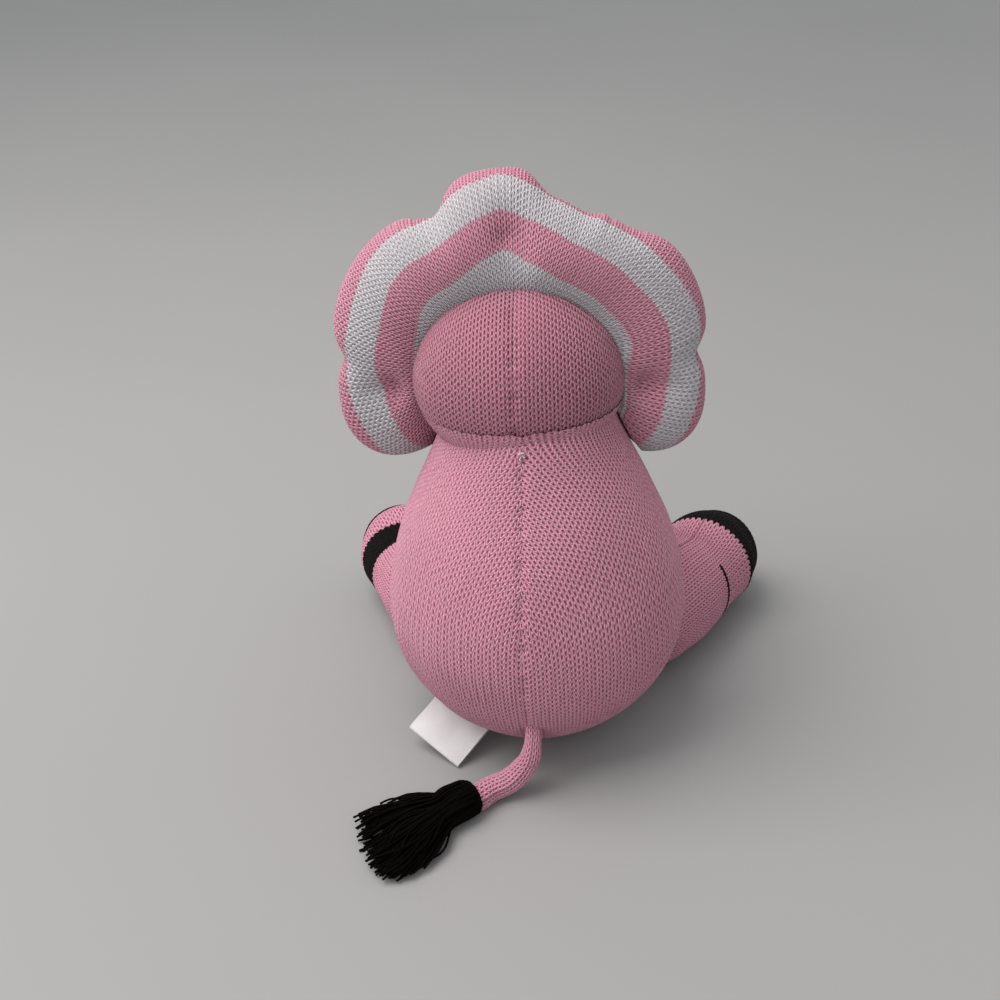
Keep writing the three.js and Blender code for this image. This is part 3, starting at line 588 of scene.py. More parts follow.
def thread_material(name, top, shaded, sheen=0.1, roughness=0.9, gloss=0.2):
    """Spun yarn: plies that wind round the strand, under a little fuzz."""
    made = Nodes(name)
    round_, along, number = made.stitch()
    twist = made.math("ADD", made.math("MULTIPLY", round_, 2.0), made.math("MULTIPLY", along, 1.1))
    ply = made.math("SINE", made.math("MULTIPLY", twist, 2 * math.pi))
    lucky = made.add("ShaderNodeTexWhiteNoise", {"W": number}, noise_dimensions="1D").outputs["Value"]
    # Painted shade: the grooves between the plies take the shaded colour
    colour = made.mix(made.ramp(ply, -1.0, 0.2), shaded, top)
    colour, fibre = fuzz(made, colour, lucky)
    relief = made.math("ADD", made.math("MULTIPLY", ply, 0.5), fibre)
    made.shade(Base_Color=colour, Roughness=roughness, Normal=made.bump(relief, 0.0001, 0.8))
    made.shade(Sheen_Weight=sheen, Sheen_Roughness=0.45, Specular_IOR_Level=gloss)
    return made.material


def satin_material():
    """Woven satin: fine floating threads across the ribbon, with a soft gloss."""
    made = Nodes("satin_ribbon")
    across, along, _ = made.stitch()
    warp = made.math("SINE", made.math("MULTIPLY", across, 2 * math.pi * 5.0))
    weft = made.math("SINE", made.math("MULTIPLY", along, 2 * math.pi * 2.2))
    weave = made.math("ADD", made.math("MULTIPLY", warp, 0.6), made.math("MULTIPLY", weft, 0.4))
    cloud = made.noise(scale=110.0, detail=4.0)
    colour = made.mix(made.ramp(cloud, 0.3, 0.7), SATIN_DEEP, SATIN)
    # Painted shade in the grooves between the woven threads
    colour = made.tint(colour, 0.3, made.ramp(weave, -1, 1), (0.75, 0.73, 0.74, 1))
    rough = made.math("ADD", made.math("MULTIPLY", cloud, 0.2), 0.3)
    made.shade(Base_Color=colour, Roughness=rough, Normal=made.bump(weave, 0.00005, 0.6))
    made.shade(Sheen_Weight=0.15, Specular_IOR_Level=0.4)
    return made.material


MATERIALS = {
    "pink_knit": knit_material("pink_knit", PINK, PINK_SHADED),
    # The head's knit, darkened with painted shade from the mane
    "head_shaded_knit": knit_material("head_shaded_knit", HEAD_PINK_SHADED, HEAD_PINK_SHADED_HOLES),
    "banded_knit": knit_material("banded_knit", PINK, PINK_SHADED, DARK, DARK_SHADED, LEG_EDGES, sheen=0.01),
    "striped_knit": knit_material("striped_knit", WHITE, WHITE_SHADED, PINK, PINK_SHADED, MANE_EDGES),
    "white_knit": knit_material("white_knit", WHITE, WHITE_SHADED),
    "pale_thread": thread_material("pale_thread", PALE, PALE_SHADED),
    "pink_thread": thread_material("pink_thread", PINK, PINK_SHADED),
    "dark_yarn": thread_material("dark_yarn", DARK, DARK_SHADED, sheen=0.0, roughness=0.85, gloss=0.03),
    "satin_ribbon": satin_material(),
}


def place(made, slot, body, *nodes, fill=None, look=None):
    """Gives a piece its material and its body, and hides the CAD nodes that it stands for."""
    made.data.materials.append(MATERIALS[look or slot])
    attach(made, body)
    if nodes:
        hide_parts(*nodes)


# The body: two panels that meet in the back seam and in the middle of the belly

def seam_groove(distance, course):
    """The pull of a sewn seam, and the ladder of stretched loops beside it."""
    ladder = bell(distance - 1.3, 0.6) * (0.5 + 0.5 * np.cos(2 * np.pi * course))
    pull = 0.75 + 0.3 * np.sin(course * 0.9) + 0.2 * np.sin(course * 2.3 + 1)
    return -0.8 * pull * bell(distance, 1.0) - 0.5 * np.clip(pull, 0.4, 2) * ladder


def body_panel(side, rows=336, columns=292):
    """Half of the body's skin, from the middle of the seat up to the lip of the neck."""
    heights = np.concatenate([np.linspace(0, 6, 120) ** 2 / 6, np.linspace(6, NECK_HEIGHT, 700)[1:]])
    radius = body_radius(heights)
    seat = np.linspace(0.4, radius[0], 24)[:-1]
    lip = np.linspace(0, 1, 24)[1:]
    radius = np.concatenate([seat, radius, NECK_RADIUS - NECK_LIP * lip])
    over_lip = NECK_HEIGHT + 0.9 * np.sin(np.pi * lip) - 2.4 * lip**2
    heights = np.concatenate([0 * seat, heights, over_lip])
    outline = distances(np.hypot(np.diff(radius), np.diff(heights)))
    along = np.linspace(0, outline[-1], rows)
    r = np.interp(along, outline, radius)[:, None]
    z = np.interp(along, outline, heights)[:, None]
    turn = np.linspace(0, 180, columns)[None, :]
    ways = level(180 - turn * side)
    grid = ways * r[..., None] + UP * z[..., None]
    from_seam = np.radians(turn) * r
    # Above the belly the columns lean towards the back seam
    line = np.linspace(0, NECK_HEIGHT + 2, 300)
    slope = COLUMN_LEAN[side] * smooth(line, BELLY_HEIGHT, 85) * (1 - smooth(line, 95, 114))
    drawn_in = np.interp(z, line, np.cumsum(slope) * line[1]) * np.exp(-from_seam / LEAN_REACH)
    climb = np.interp(z, line, slope) * ROW_REACH * (1 - np.exp(-from_seam / ROW_REACH))
    # The columns narrow less than the body does, and some end at the seam
    wale = -(np.radians(turn) * BELLY_RADIUS * (r / BELLY_RADIUS) ** 0.6 + drawn_in) / (WALE * 1.05)
    course = (along[:, None] - climb) / COURSE
    from_neck = np.maximum(outline[-1] - NECK_LIP_LENGTH - along, 0)[:, None]
    gather = np.exp(-from_neck / 7.0) * np.cos(np.radians(turn) * 34 + 0.8 * np.sin(np.radians(turn) * 7))
    dent = seam_groove(from_seam, course) + 0.15 * gather + 0.35 * ripple(grid, 9.0, 3)

    def fit(points):
        for each in (1, -1):
            points = out_of_ball(points, hip_at(each), HIP_RADIUS + CLEAR)
            points = out_of_ball(points, shoulder_at(each), SHOULDER_RADIUS + CLEAR)
        return out_of_ball(points, HEAD_MIDDLE, HEAD_CUP)

    return knit("body_" + hand(side), grid, wale, course, dent=dent, fit=fit)


def body():
    place(body_panel(1), "pink_knit", "torso", "body_cover", fill=0.9)
    place(body_panel(-1), "pink_knit", "torso", "body_filling", fill=0.9)


# The head: two panels with a seam down the back

def head_panel(side, rows=220, columns=216):
    down = np.linspace(1.5, 178.5, rows)[:, None]
    turn = np.linspace(0, 180, columns)[None, :]
    tall = np.sin(np.radians(down))
    ways = level(180 - turn * side)
    grid = ways * tall[..., None] + UP * np.cos(np.radians(down))[..., None]
    grid = turned(HEAD_MIDDLE + grid * HEAD_HALVES, HEAD_MIDDLE, (0, 0, 1), HEAD_TURN)
    narrowing = np.where(down < 90, 1.0, 0.45)
    wale = -np.radians(turn) * tall**narrowing * HEAD_HALVES[0] / WALE
    course = np.radians(down) * HEAD_ROW_RADIUS / COURSE + 0 * turn
    dent = seam_groove(np.radians(turn) * tall * HEAD_HALVES[1], course) + 0.25 * ripple(grid, 8.0, 4)
    return knit("head_" + hand(side), grid, wale, course, dent=dent)


# The mane

def lobe(turn):
    """The scallops of the rim: one at the middle of each, and nothing in the notches between them."""
    ends = (-LOBE_NOTCHES[0], *LOBE_NOTCHES)
    height = np.zeros_like(turn)
    for low, high in zip(ends, ends[1:]):
        inside = (turn >= low) & (turn <= high)
        height = np.where(inside, np.sin(np.pi * np.clip((turn - low) / (high - low), 0, 1)) ** 0.7, height)
    return height


def sag(turn, side):
    """How far the rim falls away beside the crown's scallop."""

    def away(sunk, power=2):
        depth, at, reach = sunk
        return depth * bell(turn - at, reach, power)

    return np.where(side > 0, away(LEFT_SAG), away(CROWN_SAG, 4) + away(OUTER_SAG))


def tuck(turn):
    return np.maximum(*[bell(turn - at, TUCK_REACH) for at in TUCKS])


def mane_frame(angle):
    """At angles round the head: the turn, the sewn edge, the way out to the rim and its length."""
    turn = np.abs(angle)[..., None]
    side = np.where(angle < 0, -1.0, 1.0)[..., None]
    around = smooth(turn, MANE_CHEEK - 35, MANE_CHEEK + 35)
    back = lerp(MANE_SEAM_BACK, MANE_CHEEK_BACK, smooth(turn, 0, 90)) / HEAD_HALVES[1]
    radians = np.radians(turn)
    crown = np.concatenate([np.sin(radians) * side, np.zeros_like(turn), np.cos(radians)], axis=-1)
    over_crown = crown * np.sqrt(1 - back**2) + np.concatenate([0 * back, back, 0 * back], -1)
    neck_turn = 90 * (1 - smooth(turn, MANE_CHEEK - 15, 195) ** 0.8)
    neck_turn = neck_turn - MANE_MEETING * smooth(turn, 140, 180)
    neck_way = level((neck_turn * side)[..., 0])
    dip = -MANE_NECK_DROP / HEAD_HALVES[2]
    along_neck = neck_way * math.sqrt(1 - dip**2) + UP * dip
    seam = unit(lerp(over_crown, along_neck, around))
    lean = np.radians(lerp(MANE_LEAN, MANE_LEAN * 0.75, smooth(turn, 0, 90)))
    crown_out = crown * np.cos(lean) - np.concatenate([0 * lean, np.sin(lean), 0 * lean], -1)
    slope = math.radians(MANE_CHEST_SLOPE)
    chest_out = neck_way * math.cos(slope) - UP * math.sin(slope)
    out = unit(lerp(crown_out, chest_out, smooth(turn, MANE_CHEEK - 25, MANE_CHEEK + 30)))
    reach = 1 / np.linalg.norm(seam / HEAD_HALVES, axis=-1, keepdims=True)
    sewn = HEAD_MIDDLE + seam * (reach - SEAM_SINK)
    width = lerp(MANE_WIDTH, MANE_CHEEK_WIDTH, smooth(turn, 10, 65))
    width = lerp(width, MANE_CHEST_WIDTH, smooth(turn, MANE_CHEEK - 8, MANE_CHEEK + 25))
    pulled = TUCK_PULL * smooth(turn, 50, TUCKS[1]) * tuck(turn)
    scallop = LOBE_DEPTH * (1 - lobe(turn)) + sag(turn, side)
    return turn, sewn, out, width + SEAM_SINK - scallop - pulled


def stripe_rows(grid, outside, seen, pink):
    """The knitting's row at each place of one face of the mane, from its sewn edge to its rim."""
    steps = np.linalg.norm(np.diff(grid, axis=0), axis=-1)
    arc = np.concatenate([np.zeros((1, grid.shape[1])), np.cumsum(steps, axis=0)])
    crease = np.take_along_axis(arc, np.argmax(outside, axis=0)[None, :], axis=0)
    rows = MANE_EDGES[0] + (arc - crease - seen) / pink * (MANE_EDGES[1] - MANE_EDGES[0])
    rows = np.where(rows < MANE_EDGES[1], rows, MANE_EDGES[1] + (arc - crease - seen - pink) / COURSE)
    last = MANE_EDGES[2] + 0.5
    edge = crease + seen + pink + (last - MANE_EDGES[1]) * COURSE
    rim = last + (MANE_ROWS / 2 - last) * (arc - edge) / np.maximum(arc[-1:] - edge, 1)
    return np.where(rows < last, rows, rim), arc - crease


def mane_half(side, rows=210, columns=450):
    angle = np.linspace(0, 180, columns) * side
    turn, sewn, out, length = mane_frame(angle)
    _, near_sewn, near_out, _ = mane_frame(angle + 1)
    _, far_sewn, far_out, _ = mane_frame(angle - 1)
    ahead = near_sewn + near_out * length * 0.4 - far_sewn - far_out * length * 0.4
    across = unit(np.cross(ahead, out))
    # Even steps round the oval section, from the sewn edge over the back and round to it again
    oval = np.linspace(0, 2 * np.pi, 400)
    half_width, half_thickness = 15, 7
    girth = distances(np.hypot(np.diff(half_width * np.cos(oval)), np.diff(half_thickness * np.sin(oval))))
    round_ = np.interp(np.linspace(0, girth[-1], rows), girth, oval)[:, None, None]
    along = length / 2 - length / 2 * np.cos(round_)
    share = along / length
    full = 0.75 + 0.25 * np.sin(np.pi / 2 * np.minimum(share / 0.55, 1))
    pinch = 1 - 0.4 * tuck(turn) * bell(share - 0.4, 0.3)
    thick = -MANE_THICKNESS / 2 * np.sin(round_) * full * pinch
    grid = sewn + out * along + across * thick
    outside = np.linalg.norm((grid - HEAD_MIDDLE) / HEAD_HALVES, axis=-1) > 1.01
    degrees = np.abs(angle)
    turns, white, pink = MANE_STRIPES[side]
    white = np.interp(degrees, turns, white)[None, :]
    pink = np.interp(degrees, turns, pink)[None, :]
    half = rows // 2
    back, from_crease = stripe_rows(grid[:half], outside[:half], white, pink)
    ahead_half = slice(None, half - 1, -1)
    front, from_front = stripe_rows(grid[ahead_half], outside[ahead_half], 5 + 0 * white, 10 + 0 * pink)
    course = np.concatenate([back, MANE_ROWS - front[::-1]])
    away = np.concatenate([from_crease, from_front[::-1]])
    wale = angle[None, :] / 360 * MANE_WALES + 0 * course
    # Stitches pull it in over the crown and at the cheeks
    crown = np.exp(-((away - 13.5) ** 2 + ((angle - 3) * 0.75) ** 2) / 9)
    cheek = np.exp(-((away - 5.5) ** 2 + ((degrees - TUCKS[1]) * 0.65) ** 2) / 10)
    fold = bell(degrees - TUCKS[1], 2.5) * smooth(away, 3, 6) * (1 - smooth(away, 8, 20))
    notch = sum(bell(degrees - at, 3.5) for at in LOBE_NOTCHES[1:3]) * smooth(away, 12, 24)
    dent = -1.5 * notch - 0.9 * crown - 2.8 * cheek - 1.0 * fold + 0.3 * ripple(grid, 7.0, 5)
    grid = turned(grid, HEAD_MIDDLE, (0, 0, 1), HEAD_TURN)

    def fit(points):
        return clear_of_body(points, MANE_CLEAR)

    return knit("mane_" + hand(side), grid, wale, course, stripe=course, dent=dent, fit=fit)


def head():
    # The head's panels take the pink darkened with painted shade from the mane over it
    place(head_panel(1), "pink_knit", "head", "head_cover", fill=0.9, look="head_shaded_knit")
    place(head_panel(-1), "pink_knit", "head", "head_filling", fill=0.9, look="head_shaded_knit")
    place(mane_half(1), "striped_knit", "head", "mane_cover", fill=0.8)
    place(mane_half(-1), "striped_knit", "head", "mane_filling", fill=0.8)


# Legs and arms

def knit_limb(name, points, radii, end_rise, rows, wales, stripes=None, row_height=COURSE, samples=5):
    """A knitted limb. stripes gives the rows that its bands count and where they show."""
    grid, along, turn = limb(points, radii, end_rise, rows, wales * samples)
    wale = turn[None, :] / (2 * np.pi) * wales + 0 * along[:, None]
    course = along[:, None] / row_height + 0 * wale
    dent = 0.2 * ripple(grid, 6.0, 6)
    stripe, shown = 0.0, 1.0
    if stripes is not None:
        stripe, shown = stripes(along[:, None] + 0 * wale, turn[None, :] + 0 * wale)
    return knit(name, grid, wale, course, True, stripe, shown, dent)


def place_limb(made, body, look):
    place(made, "pink_knit", body, body + "_cover", body + "_filling", fill=0.9, look=look)


def leg_rows(along, edges):
    """Rows that turn dark and pink again at the given distances along the leg."""
    low, high, second, last = edges
    rows = LEG_EDGES[0] + (along - low) / (high - low) * (LEG_EDGES[1] - LEG_EDGES[0])
    pink = LEG_EDGES[1] + (along - high) / (second - high) * (LEG_EDGES[2] - LEG_EDGES[1])
    dark = LEG_EDGES[2] + (along - second) / (last - second) * (LEG_EDGES[3] - LEG_EDGES[2])
    return np.where(along < high, rows, np.where(along < second, pink, dark))


def left_leg_stripes(along, turn):
    lean = -np.sin(turn) * lerp(5.5, 2.0, smooth(along, 30, 48))
    return leg_rows(along - lean, LEFT_LEG_BANDS), 1.0


def right_leg_stripes(along, turn):
    """The first band is a dark line that widens towards the floor and ends under the leg."""
    under = np.mod(turn - np.pi / 2 + np.pi, 2 * np.pi) - np.pi
    width = 1.2 + 3.2 * smooth(under, 0.1, 0.9)
    rows = leg_rows(along, (RIGHT_LEG_BANDS[0] - width, *RIGHT_LEG_BANDS))
    away = np.abs(along - 26) > 8
    return rows, np.where(away | ((under > -0.75) & (under < 1.6)), 1.0, 0.0)


def leg(side):
    hip = hip_at(side)
    out = level(LEG_SPLAY * side)
    toes = level((LEG_SPLAY - FOOT_TURN) * side)
    flat = np.array([1.0, 1.0, 0.0])
    ankle = (hip + out * LEG_LENGTH * 0.6) * flat + UP * ANKLE_RADIUS
    points = [
        hip,
        (hip + out * LEG_LENGTH * 0.3) * flat + UP * (THIGH_RADIUS - SEAT_CUT),
        ankle,
        (ankle + toes * LEG_LENGTH * 0.22) * flat + UP * (FOOT_RADIUS - SEAT_CUT),
        (ankle + toes * LEG_LENGTH * 0.39) * flat + UP * FOOT_RADIUS * FOOT_TAPER,
    ]
    radii = [HIP_RADIUS, THIGH_RADIUS, ANKLE_RADIUS, FOOT_RADIUS, FOOT_RADIUS * FOOT_TAPER]
    stripes = left_leg_stripes if side > 0 else right_leg_stripes
    end_rise = FOOT_RADIUS * 0.55
    made = knit_limb("leg_" + hand(side), points, radii, end_rise, rows=190, wales=48, stripes=stripes)
    place_limb(made, hand(side) + "_leg", "banded_knit")


def arm(side):
    shoulder = shoulder_at(side)

    def along(share, outset):
        angle = (SHOULDER_ANGLE - ARM_INWARD * share) * side
        return body_surface(angle, SHOULDER_HEIGHT - ARM_DROP * share, outset)

    points = [shoulder, along(0.45, SHOULDER_RADIUS + 0.8), along(1, PAW_RADIUS + 1.5)]
    radii = [SHOULDER_RADIUS, SHOULDER_RADIUS, PAW_RADIUS]
    made = knit_limb("arm_" + hand(side), points, radii, PAW_RADIUS * 0.8, rows=110, wales=26)
    place_limb(made, hand(side) + "_arm", "pink_knit")


# The tail and its tassel

def tail_route():
    """The middle of the tail, from its root to the tassel."""
    root = body_surface(180, TAIL_ROOT_HEIGHT)
    return np.array([
        [-1.5, -2.0, 23.3],
        [-1.7, 2.2, 18.7],
        [-0.8, 3.6, 13.75],
        [1.6, 3.8, 9.46],
        [5.8, 4.4, 5.25],
        [10.5, 6.4, 3.85],
        [14.2, 10.0, 3.55],
    ]) + [0, root[1], 0]


def tail():
    radii = np.interp(range(7), (0, 3, 6), TAIL_RADII)
    made = knit_limb("tail_tube", tail_route(), radii, 3.2, rows=120, wales=10, row_height=1.6, samples=6)
    place(made, "pink_knit", "tail", "tail", fill=0.7)


def tassel():
    """A bunch of loose yarn ends, tied round the tail."""
    foot = tail_route()[-1] * [1, 1, 0]
    ahead = level(90 + TASSEL_ANGLE)
    across = np.array([-ahead[1], ahead[0], 0.0])
    collar = TAIL_RADII[2] + TASSEL_BIND
    stops = [0, 0.05, 0.12, 0.24, 0.36, 0.52, 0.7, 0.86, 1]
    wide = [collar - 2.4, collar - 0.2, collar + 1, collar + 1.4, collar + 1, 9, 12, 14.1, TASSEL_SPREAD]
    thick = [collar - 2.4, collar - 0.2, collar, collar, TASSEL_THICKNESS, TASSEL_THICKNESS, 3.6, 3, 2]
    locks = []
    for _ in range(TASSEL_LOCKS):
        locks.append((chance.uniform(-1, 1), chance.uniform(-0.9, 0.9), chance.uniform(0, 6.3, 3)))
    paths = []
    share = np.linspace(0, 1, 24)
    for number in range(TASSEL_YARNS):
        lock_across, lock_up, lock_wave = locks[number % TASSEL_LOCKS]
        own = chance.normal(size=2) * 0.13
        place_across = np.clip(lock_across + own[0], -1, 1)
        place_up = np.clip(lock_up + own[1] * 1.6, -0.95, 0.95) * math.sqrt(1 - place_across**2 * 0.85)
        reach = TASSEL_LENGTH * chance.uniform(0.68, 1.08) + 4.5 * max(place_across, 0)
        wave = lock_wave + chance.uniform(-0.9, 0.9, 3)
        wobble = (0.4 + chance.exponential(0.8)) * share**1.2
        swing = wobble * np.sin((5 + wave[2] / 2) * share + wave[0])
        side = np.interp(share, stops, wide) * place_across * 0.93 + swing
        rise = 0.5 * wobble * np.sin(7 * share + wave[1])
        height = np.maximum(np.interp(share, stops, thick) * (1 + place_up * 0.93) + rise, 0.36)
        forward = share * reach - 5 * smooth(share, 0.3, 1) * place_across**2
        level_path = foot + ahead * forward[:, None] + across * side[:, None]
        paths.append(level_path + UP * height[:, None])
    made = strands("tassel_strands", paths, radius=0.34, sides=5)
    place(made, "dark_yarn", "tassel", "tassel")
    turns = np.linspace(0, 2 * np.pi * 4, 120)
    ring = UP * (np.sin(turns) * (collar - 0.5))[:, None] + across * (np.cos(turns) * (collar - 0.1))[:, None]
    winding = foot + UP * (collar - 0.4) + ring + ahead * np.linspace(1.6, 3.8, 120)[:, None]
    place(strands("tassel_binding", [winding], radius=0.42, sides=8), "dark_yarn", "tassel")


# The face: stitched in yarn, and plain

def front_of(middle, halves, x, z, grow):
    """The front of an ellipsoid, some way outside it, at a width and a height."""
    full = halves + grow
    inside = np.clip(1 - ((x - middle[0]) / full[0]) ** 2 - ((z - middle[2]) / full[2]) ** 2, 0, 1)
    return np.stack([x, middle[1] - full[1] * np.sqrt(inside), z], axis=-1)


def satin_stitches(node, middle, halves, low, high, at, half_width):
    """Parallel threads between a lower and an upper edge, two functions of the place across."""
    paths = []
    for x in np.arange(at - half_width + STITCH_WIDTH / 2, at + half_width, STITCH_WIDTH):
        bottom, top = low(x), high(x)
        if top - bottom < 0.3:
            continue
        z = np.linspace(bottom, top, 9)
        paths.append(front_of(middle, halves, x + chance.uniform(-0.06, 0.06, 9), z, grow=0.8))
    place(strands(node + "_stitches", paths, radius=0.42), "dark_yarn", "head", node)


def knit_ball(name, shape, rows, columns, radius, row_height, wales):
    """A small knitted ball. shape is a function that makes it from a unit ball with upright poles."""
    down = np.radians(np.linspace(2, 178, rows))[:, None]
    turn = np.linspace(0, 2 * np.pi, columns, endpoint=False)[None, :]
    ball = np.stack([np.sin(down) * np.cos(turn), np.sin(down) * np.sin(turn), np.cos(down) + 0 * turn], -1)
    course = down * radius / row_height + 0 * turn
    wale = turn / (2 * np.pi) * wales + 0 * down
    return knit(name, shape(ball), wale, course, True, relief=SMALL_RELIEF)


def eye(side):
    at = HEAD_MIDDLE[0] + EYE_APART * side
    height = HEAD_MIDDLE[2] + EYE_RISE
    half_width, half_height = EYE_HALVES

    def edge(x):
        return half_height * math.sqrt(max(1 - ((x - at) / half_width) ** 2, 0))

    satin_stitches(
        hand(side) + "_eye", HEAD_MIDDLE, HEAD_HALVES,
        lambda x: height - edge(x), lambda x: height + edge(x), at, half_width,
    )


def face():
    made = knit_ball(
        "muzzle_knit", lambda ball: MUZZLE_MIDDLE + ball[..., [0, 2, 1]] * [1, -1, 1] * MUZZLE_HALVES,
        90, 170, *MUZZLE_KNIT,
    )
    place(made, "white_yarn", "head", "muzzle", fill=0.8, look="white_knit")
    eye(1)
    eye(-1)
    at = MUZZLE_MIDDLE[0]
    top = MUZZLE_MIDDLE[2] + NOSE_TOP
    bottom = top - NOSE_HEIGHT
    satin_stitches(
        "nose", MUZZLE_MIDDLE, MUZZLE_HALVES,
        lambda x: bottom + 4.4 * max(abs(x - at) - 1, 0) / 3.5,
        lambda x: top - max(abs(x - at) - 3.3, 0) / 1.2,
        at, NOSE_HALF_WIDTH,
    )
    z = np.linspace(bottom, bottom - MOUTH_DROP, 8)
    paths = [front_of(MUZZLE_MIDDLE, MUZZLE_HALVES, at + 0 * z, z, grow=0.75)]
    x = np.linspace(0, MOUTH_REACH, 12)
    z = bottom - MOUTH_DROP - 0.9 * np.sin(x / MOUTH_REACH * np.pi) + 0.6 * x / MOUTH_REACH
    for side in (1, -1):
        paths.append(front_of(MUZZLE_MIDDLE, MUZZLE_HALVES, at + x * side, z, grow=0.75))
    place(strands("mouth_stitches", paths, radius=0.45), "dark_yarn", "head", "mouth")


def ear(side):
    turn = math.radians(EAR_TURN)
    way = np.array([math.sin(turn) * side, 0, math.cos(turn)])
    reach = math.sqrt(1 - (EAR_FORWARD / HEAD_HALVES[1]) ** 2) / np.linalg.norm(way / HEAD_HALVES)
    foot = HEAD_MIDDLE + way * reach - [0, EAR_FORWARD, 0]

    def shape(ball):
        grid = ball * EAR_HALVES + [0, 0, EAR_HALVES[2] - EAR_SINK]
        grid = turned(grid, np.zeros(3), (1, 0, 0), MANE_LEAN)
        grid = turned(grid, np.zeros(3), (0, 1, 0), EAR_TURN * side)
        return turned(grid + foot, HEAD_MIDDLE, (0, 0, 1), HEAD_TURN)

    made = knit_ball("ear_" + hand(side), shape, 70, 140, *EAR_KNIT)
    place(made, "pink_knit", "head", hand(side) + "_ear", fill=0.7)


# Sewing threads and the label

def threads():
    knot_at = body_surface(180, NECK_HEIGHT - 6, 0.6)
    turn = np.linspace(0, 2 * np.pi, 26)
    loops = []
    for lean in (0.0, 1.1, 2.2):
        ring = np.stack([np.cos(turn), 0.5 * np.sin(turn + lean), np.sin(turn) * math.cos(lean)], -1)
        loops.append(knot_at + ring * 0.7)
    for way in ((0.6, 0.4, -1.7), (-0.9, 0.4, -0.9)):
        loops.append(knot_at + np.linspace(0, 1, 8)[:, None] * np.array(way))
    made = strands("seam_knot", loops, radius=0.3)
    place(made, "white_yarn", "torso", "back_seam_knot", look="pale_thread")
    reach = HEAD_HALVES[0] * math.sqrt(1 - (NECK_THREAD_DROP / HEAD_HALVES[2]) ** 2) + 1.2
    turn = np.linspace(0, 2 * np.pi, 120)
    height = HEAD_MIDDLE[2] - NECK_THREAD_DROP - 0.6
    ring = np.stack([np.cos(turn) * reach, np.sin(turn) * reach, 0 * turn + height], -1)
    made = strands("neck_gathering", [HEAD_MIDDLE * [1, 1, 0] + ring], radius=0.55, sides=8)
    place(made, "pink_knit", "neck", "neck_thread", look="pink_thread")


def label():
    """A folded ribbon with bare leaves, sewn into the seam."""
    dip = math.radians(LABEL_DIP)
    along = level(LABEL_WAY) * math.cos(dip) - UP * math.sin(dip)
    across = turned(unit(np.cross(UP, along)), np.zeros(3), along, LABEL_ROLL)
    over = np.cross(across, along)
    half = LABEL_SHUT / 2
    inset = 0.2
    leaf = np.linspace(-LABEL_HELD, LABEL_LENGTH - half, 26)
    bend = np.linspace(-np.pi / 2, np.pi / 2, 11)[1:-1]
    fold = half - inset
    x = np.concatenate([leaf, LABEL_LENGTH - half + fold * np.cos(bend), leaf[::-1]])
    y = np.concatenate([0 * leaf + inset, half + fold * np.sin(bend), 0 * leaf + LABEL_SHUT - inset])
    wide = np.linspace(-LABEL_WIDTH / 2, LABEL_WIDTH / 2, 60)
    height = y[:, None] + 0.25 * np.sin(wide / 5)[None, :] * smooth(x, 2, 12)[:, None]
    middle = body_surface(LABEL_ANGLE, LABEL_HEIGHT) + x[:, None, None] * along
    middle = middle + height[..., None] * over + wide[None, :, None] * across
    normal = unit(np.cross(np.gradient(middle, axis=0), np.gradient(middle, axis=1)))
    rows, columns = middle.shape[:2]
    top, bottom = middle + normal * RIBBON_HALF, middle - normal * RIBBON_HALF
    points = np.vstack([top.reshape(-1, 3), bottom.reshape(-1, 3)])
    count = rows * columns
    faces = grid_faces(rows, columns, False)
    faces += [[corner + count for corner in reversed(face)] for face in faces]
    rim = [i * columns for i in range(rows)] + [(rows - 1) * columns + j for j in range(1, columns)]
    rim += [i * columns + columns - 1 for i in range(rows - 2, -1, -1)] + list(range(columns - 2, 0, -1))
    for a, b in zip(rim, rim[1:] + rim[:1]):
        faces.append((a, a + count, b + count, b))
    length = distances(np.hypot(np.diff(x), np.diff(y)))
    stitch = np.stack([wide[None, :] + 0 * height, length[:, None] + 0 * height, 0 * height], -1)
    made = piece("label_ribbon", points, faces, np.tile(stitch.reshape(-1, 3), (2, 1)))
    place(made, "satin_ribbon", "label", "label")


# Floor, light and camera

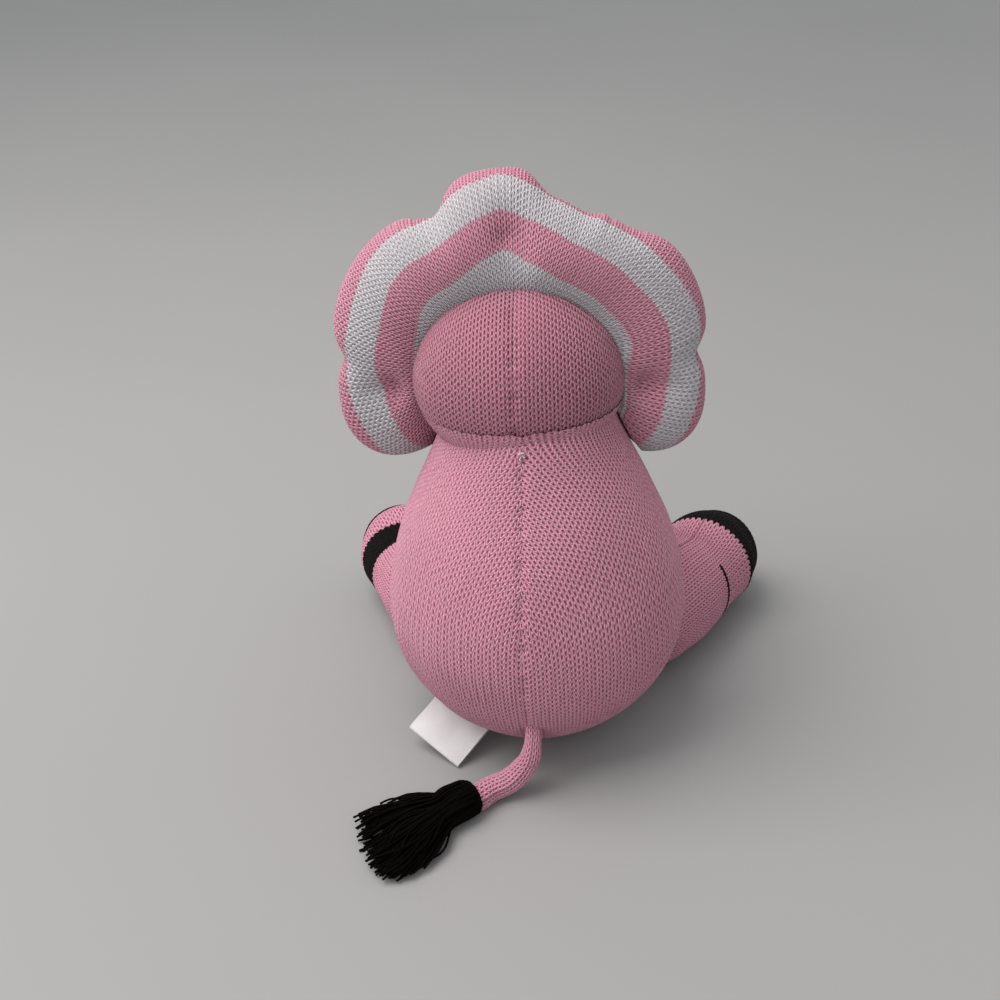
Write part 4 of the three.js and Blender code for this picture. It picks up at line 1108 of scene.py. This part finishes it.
def stage():
    made = Nodes("floor")
    cloud = made.noise(scale=3.0, detail=2.0)
    colour = made.mix(cloud, (0.235, 0.23, 0.224, 1), (0.27, 0.265, 0.255, 1))
    made.shade(Base_Color=colour, Roughness=0.8)
    mesh = bpy.data.meshes.new("floor")
    mesh.from_pydata([(-3, -3, 0), (3, -3, 0), (3, 3, 0), (-3, 3, 0)], [], [(0, 1, 2, 3)])
    floor = bpy.data.objects.new("floor", mesh)
    floor.data.materials.append(made.material)
    scene.collection.objects.link(floor)


def area_light(name, at, size, watts, colour):
    light = bpy.data.lights.new(name, "AREA")
    light.size = size
    light.energy = watts
    light.color = colour
    made = bpy.data.objects.new(name, light)
    made.location = at
    made.rotation_euler = (Vector((0, 0, 0.07)) - Vector(at)).to_track_quat("-Z", "Y").to_euler()
    scene.collection.objects.link(made)


def lights():
    world = bpy.data.worlds.new("world")
    world.use_nodes = True
    background = world.node_tree.nodes["Background"]
    background.inputs["Color"].default_value = (0.93, 0.96, 1.0, 1)
    background.inputs["Strength"].default_value = 0.8
    scene.world = world
    area_light("key", (0.4, 0.1, 0.95), size=0.8, watts=12, colour=(1.0, 0.98, 0.96))
    area_light("fill", (0.5, 0.75, 0.35), size=0.9, watts=3, colour=(0.97, 0.98, 1.0))


def camera():
    azimuth, elevation, roll = (math.radians(angle) for angle in (188, 30, 3))
    ahead = Vector((
        -math.sin(azimuth) * math.cos(elevation),
        math.cos(azimuth) * math.cos(elevation),
        -math.sin(elevation),
    ))
    right = ahead.cross(Vector((0, 0, 1))).normalized()
    up = right.cross(ahead)
    x_axis = right * math.cos(roll) - up * math.sin(roll)
    y_axis = right * math.sin(roll) + up * math.cos(roll)
    away = 0.424
    pixel = away / 1388.9  # the size of a pixel at the lion
    aim = Vector((0, 0, 0.044))  # 37 pixels right of the picture's middle, and 90 below
    at = aim - x_axis * (37 * pixel) + y_axis * (90 * pixel) - ahead * away
    lens = bpy.data.cameras.new("camera")
    lens.lens = 50
    lens.sensor_width = 36
    lens.clip_start = 0.01
    made = bpy.data.objects.new("camera", lens)
    turn = Matrix((x_axis, y_axis, -ahead)).transposed().to_4x4()
    made.matrix_world = Matrix.Translation(at) @ turn
    scene.collection.objects.link(made)
    scene.camera = made


body()
head()
face()
for side in (1, -1):
    leg(side)
    arm(side)
    ear(side)
tail()
tassel()
threads()
label()
stage()
lights()
camera()
scene.view_settings.view_transform = "Standard"
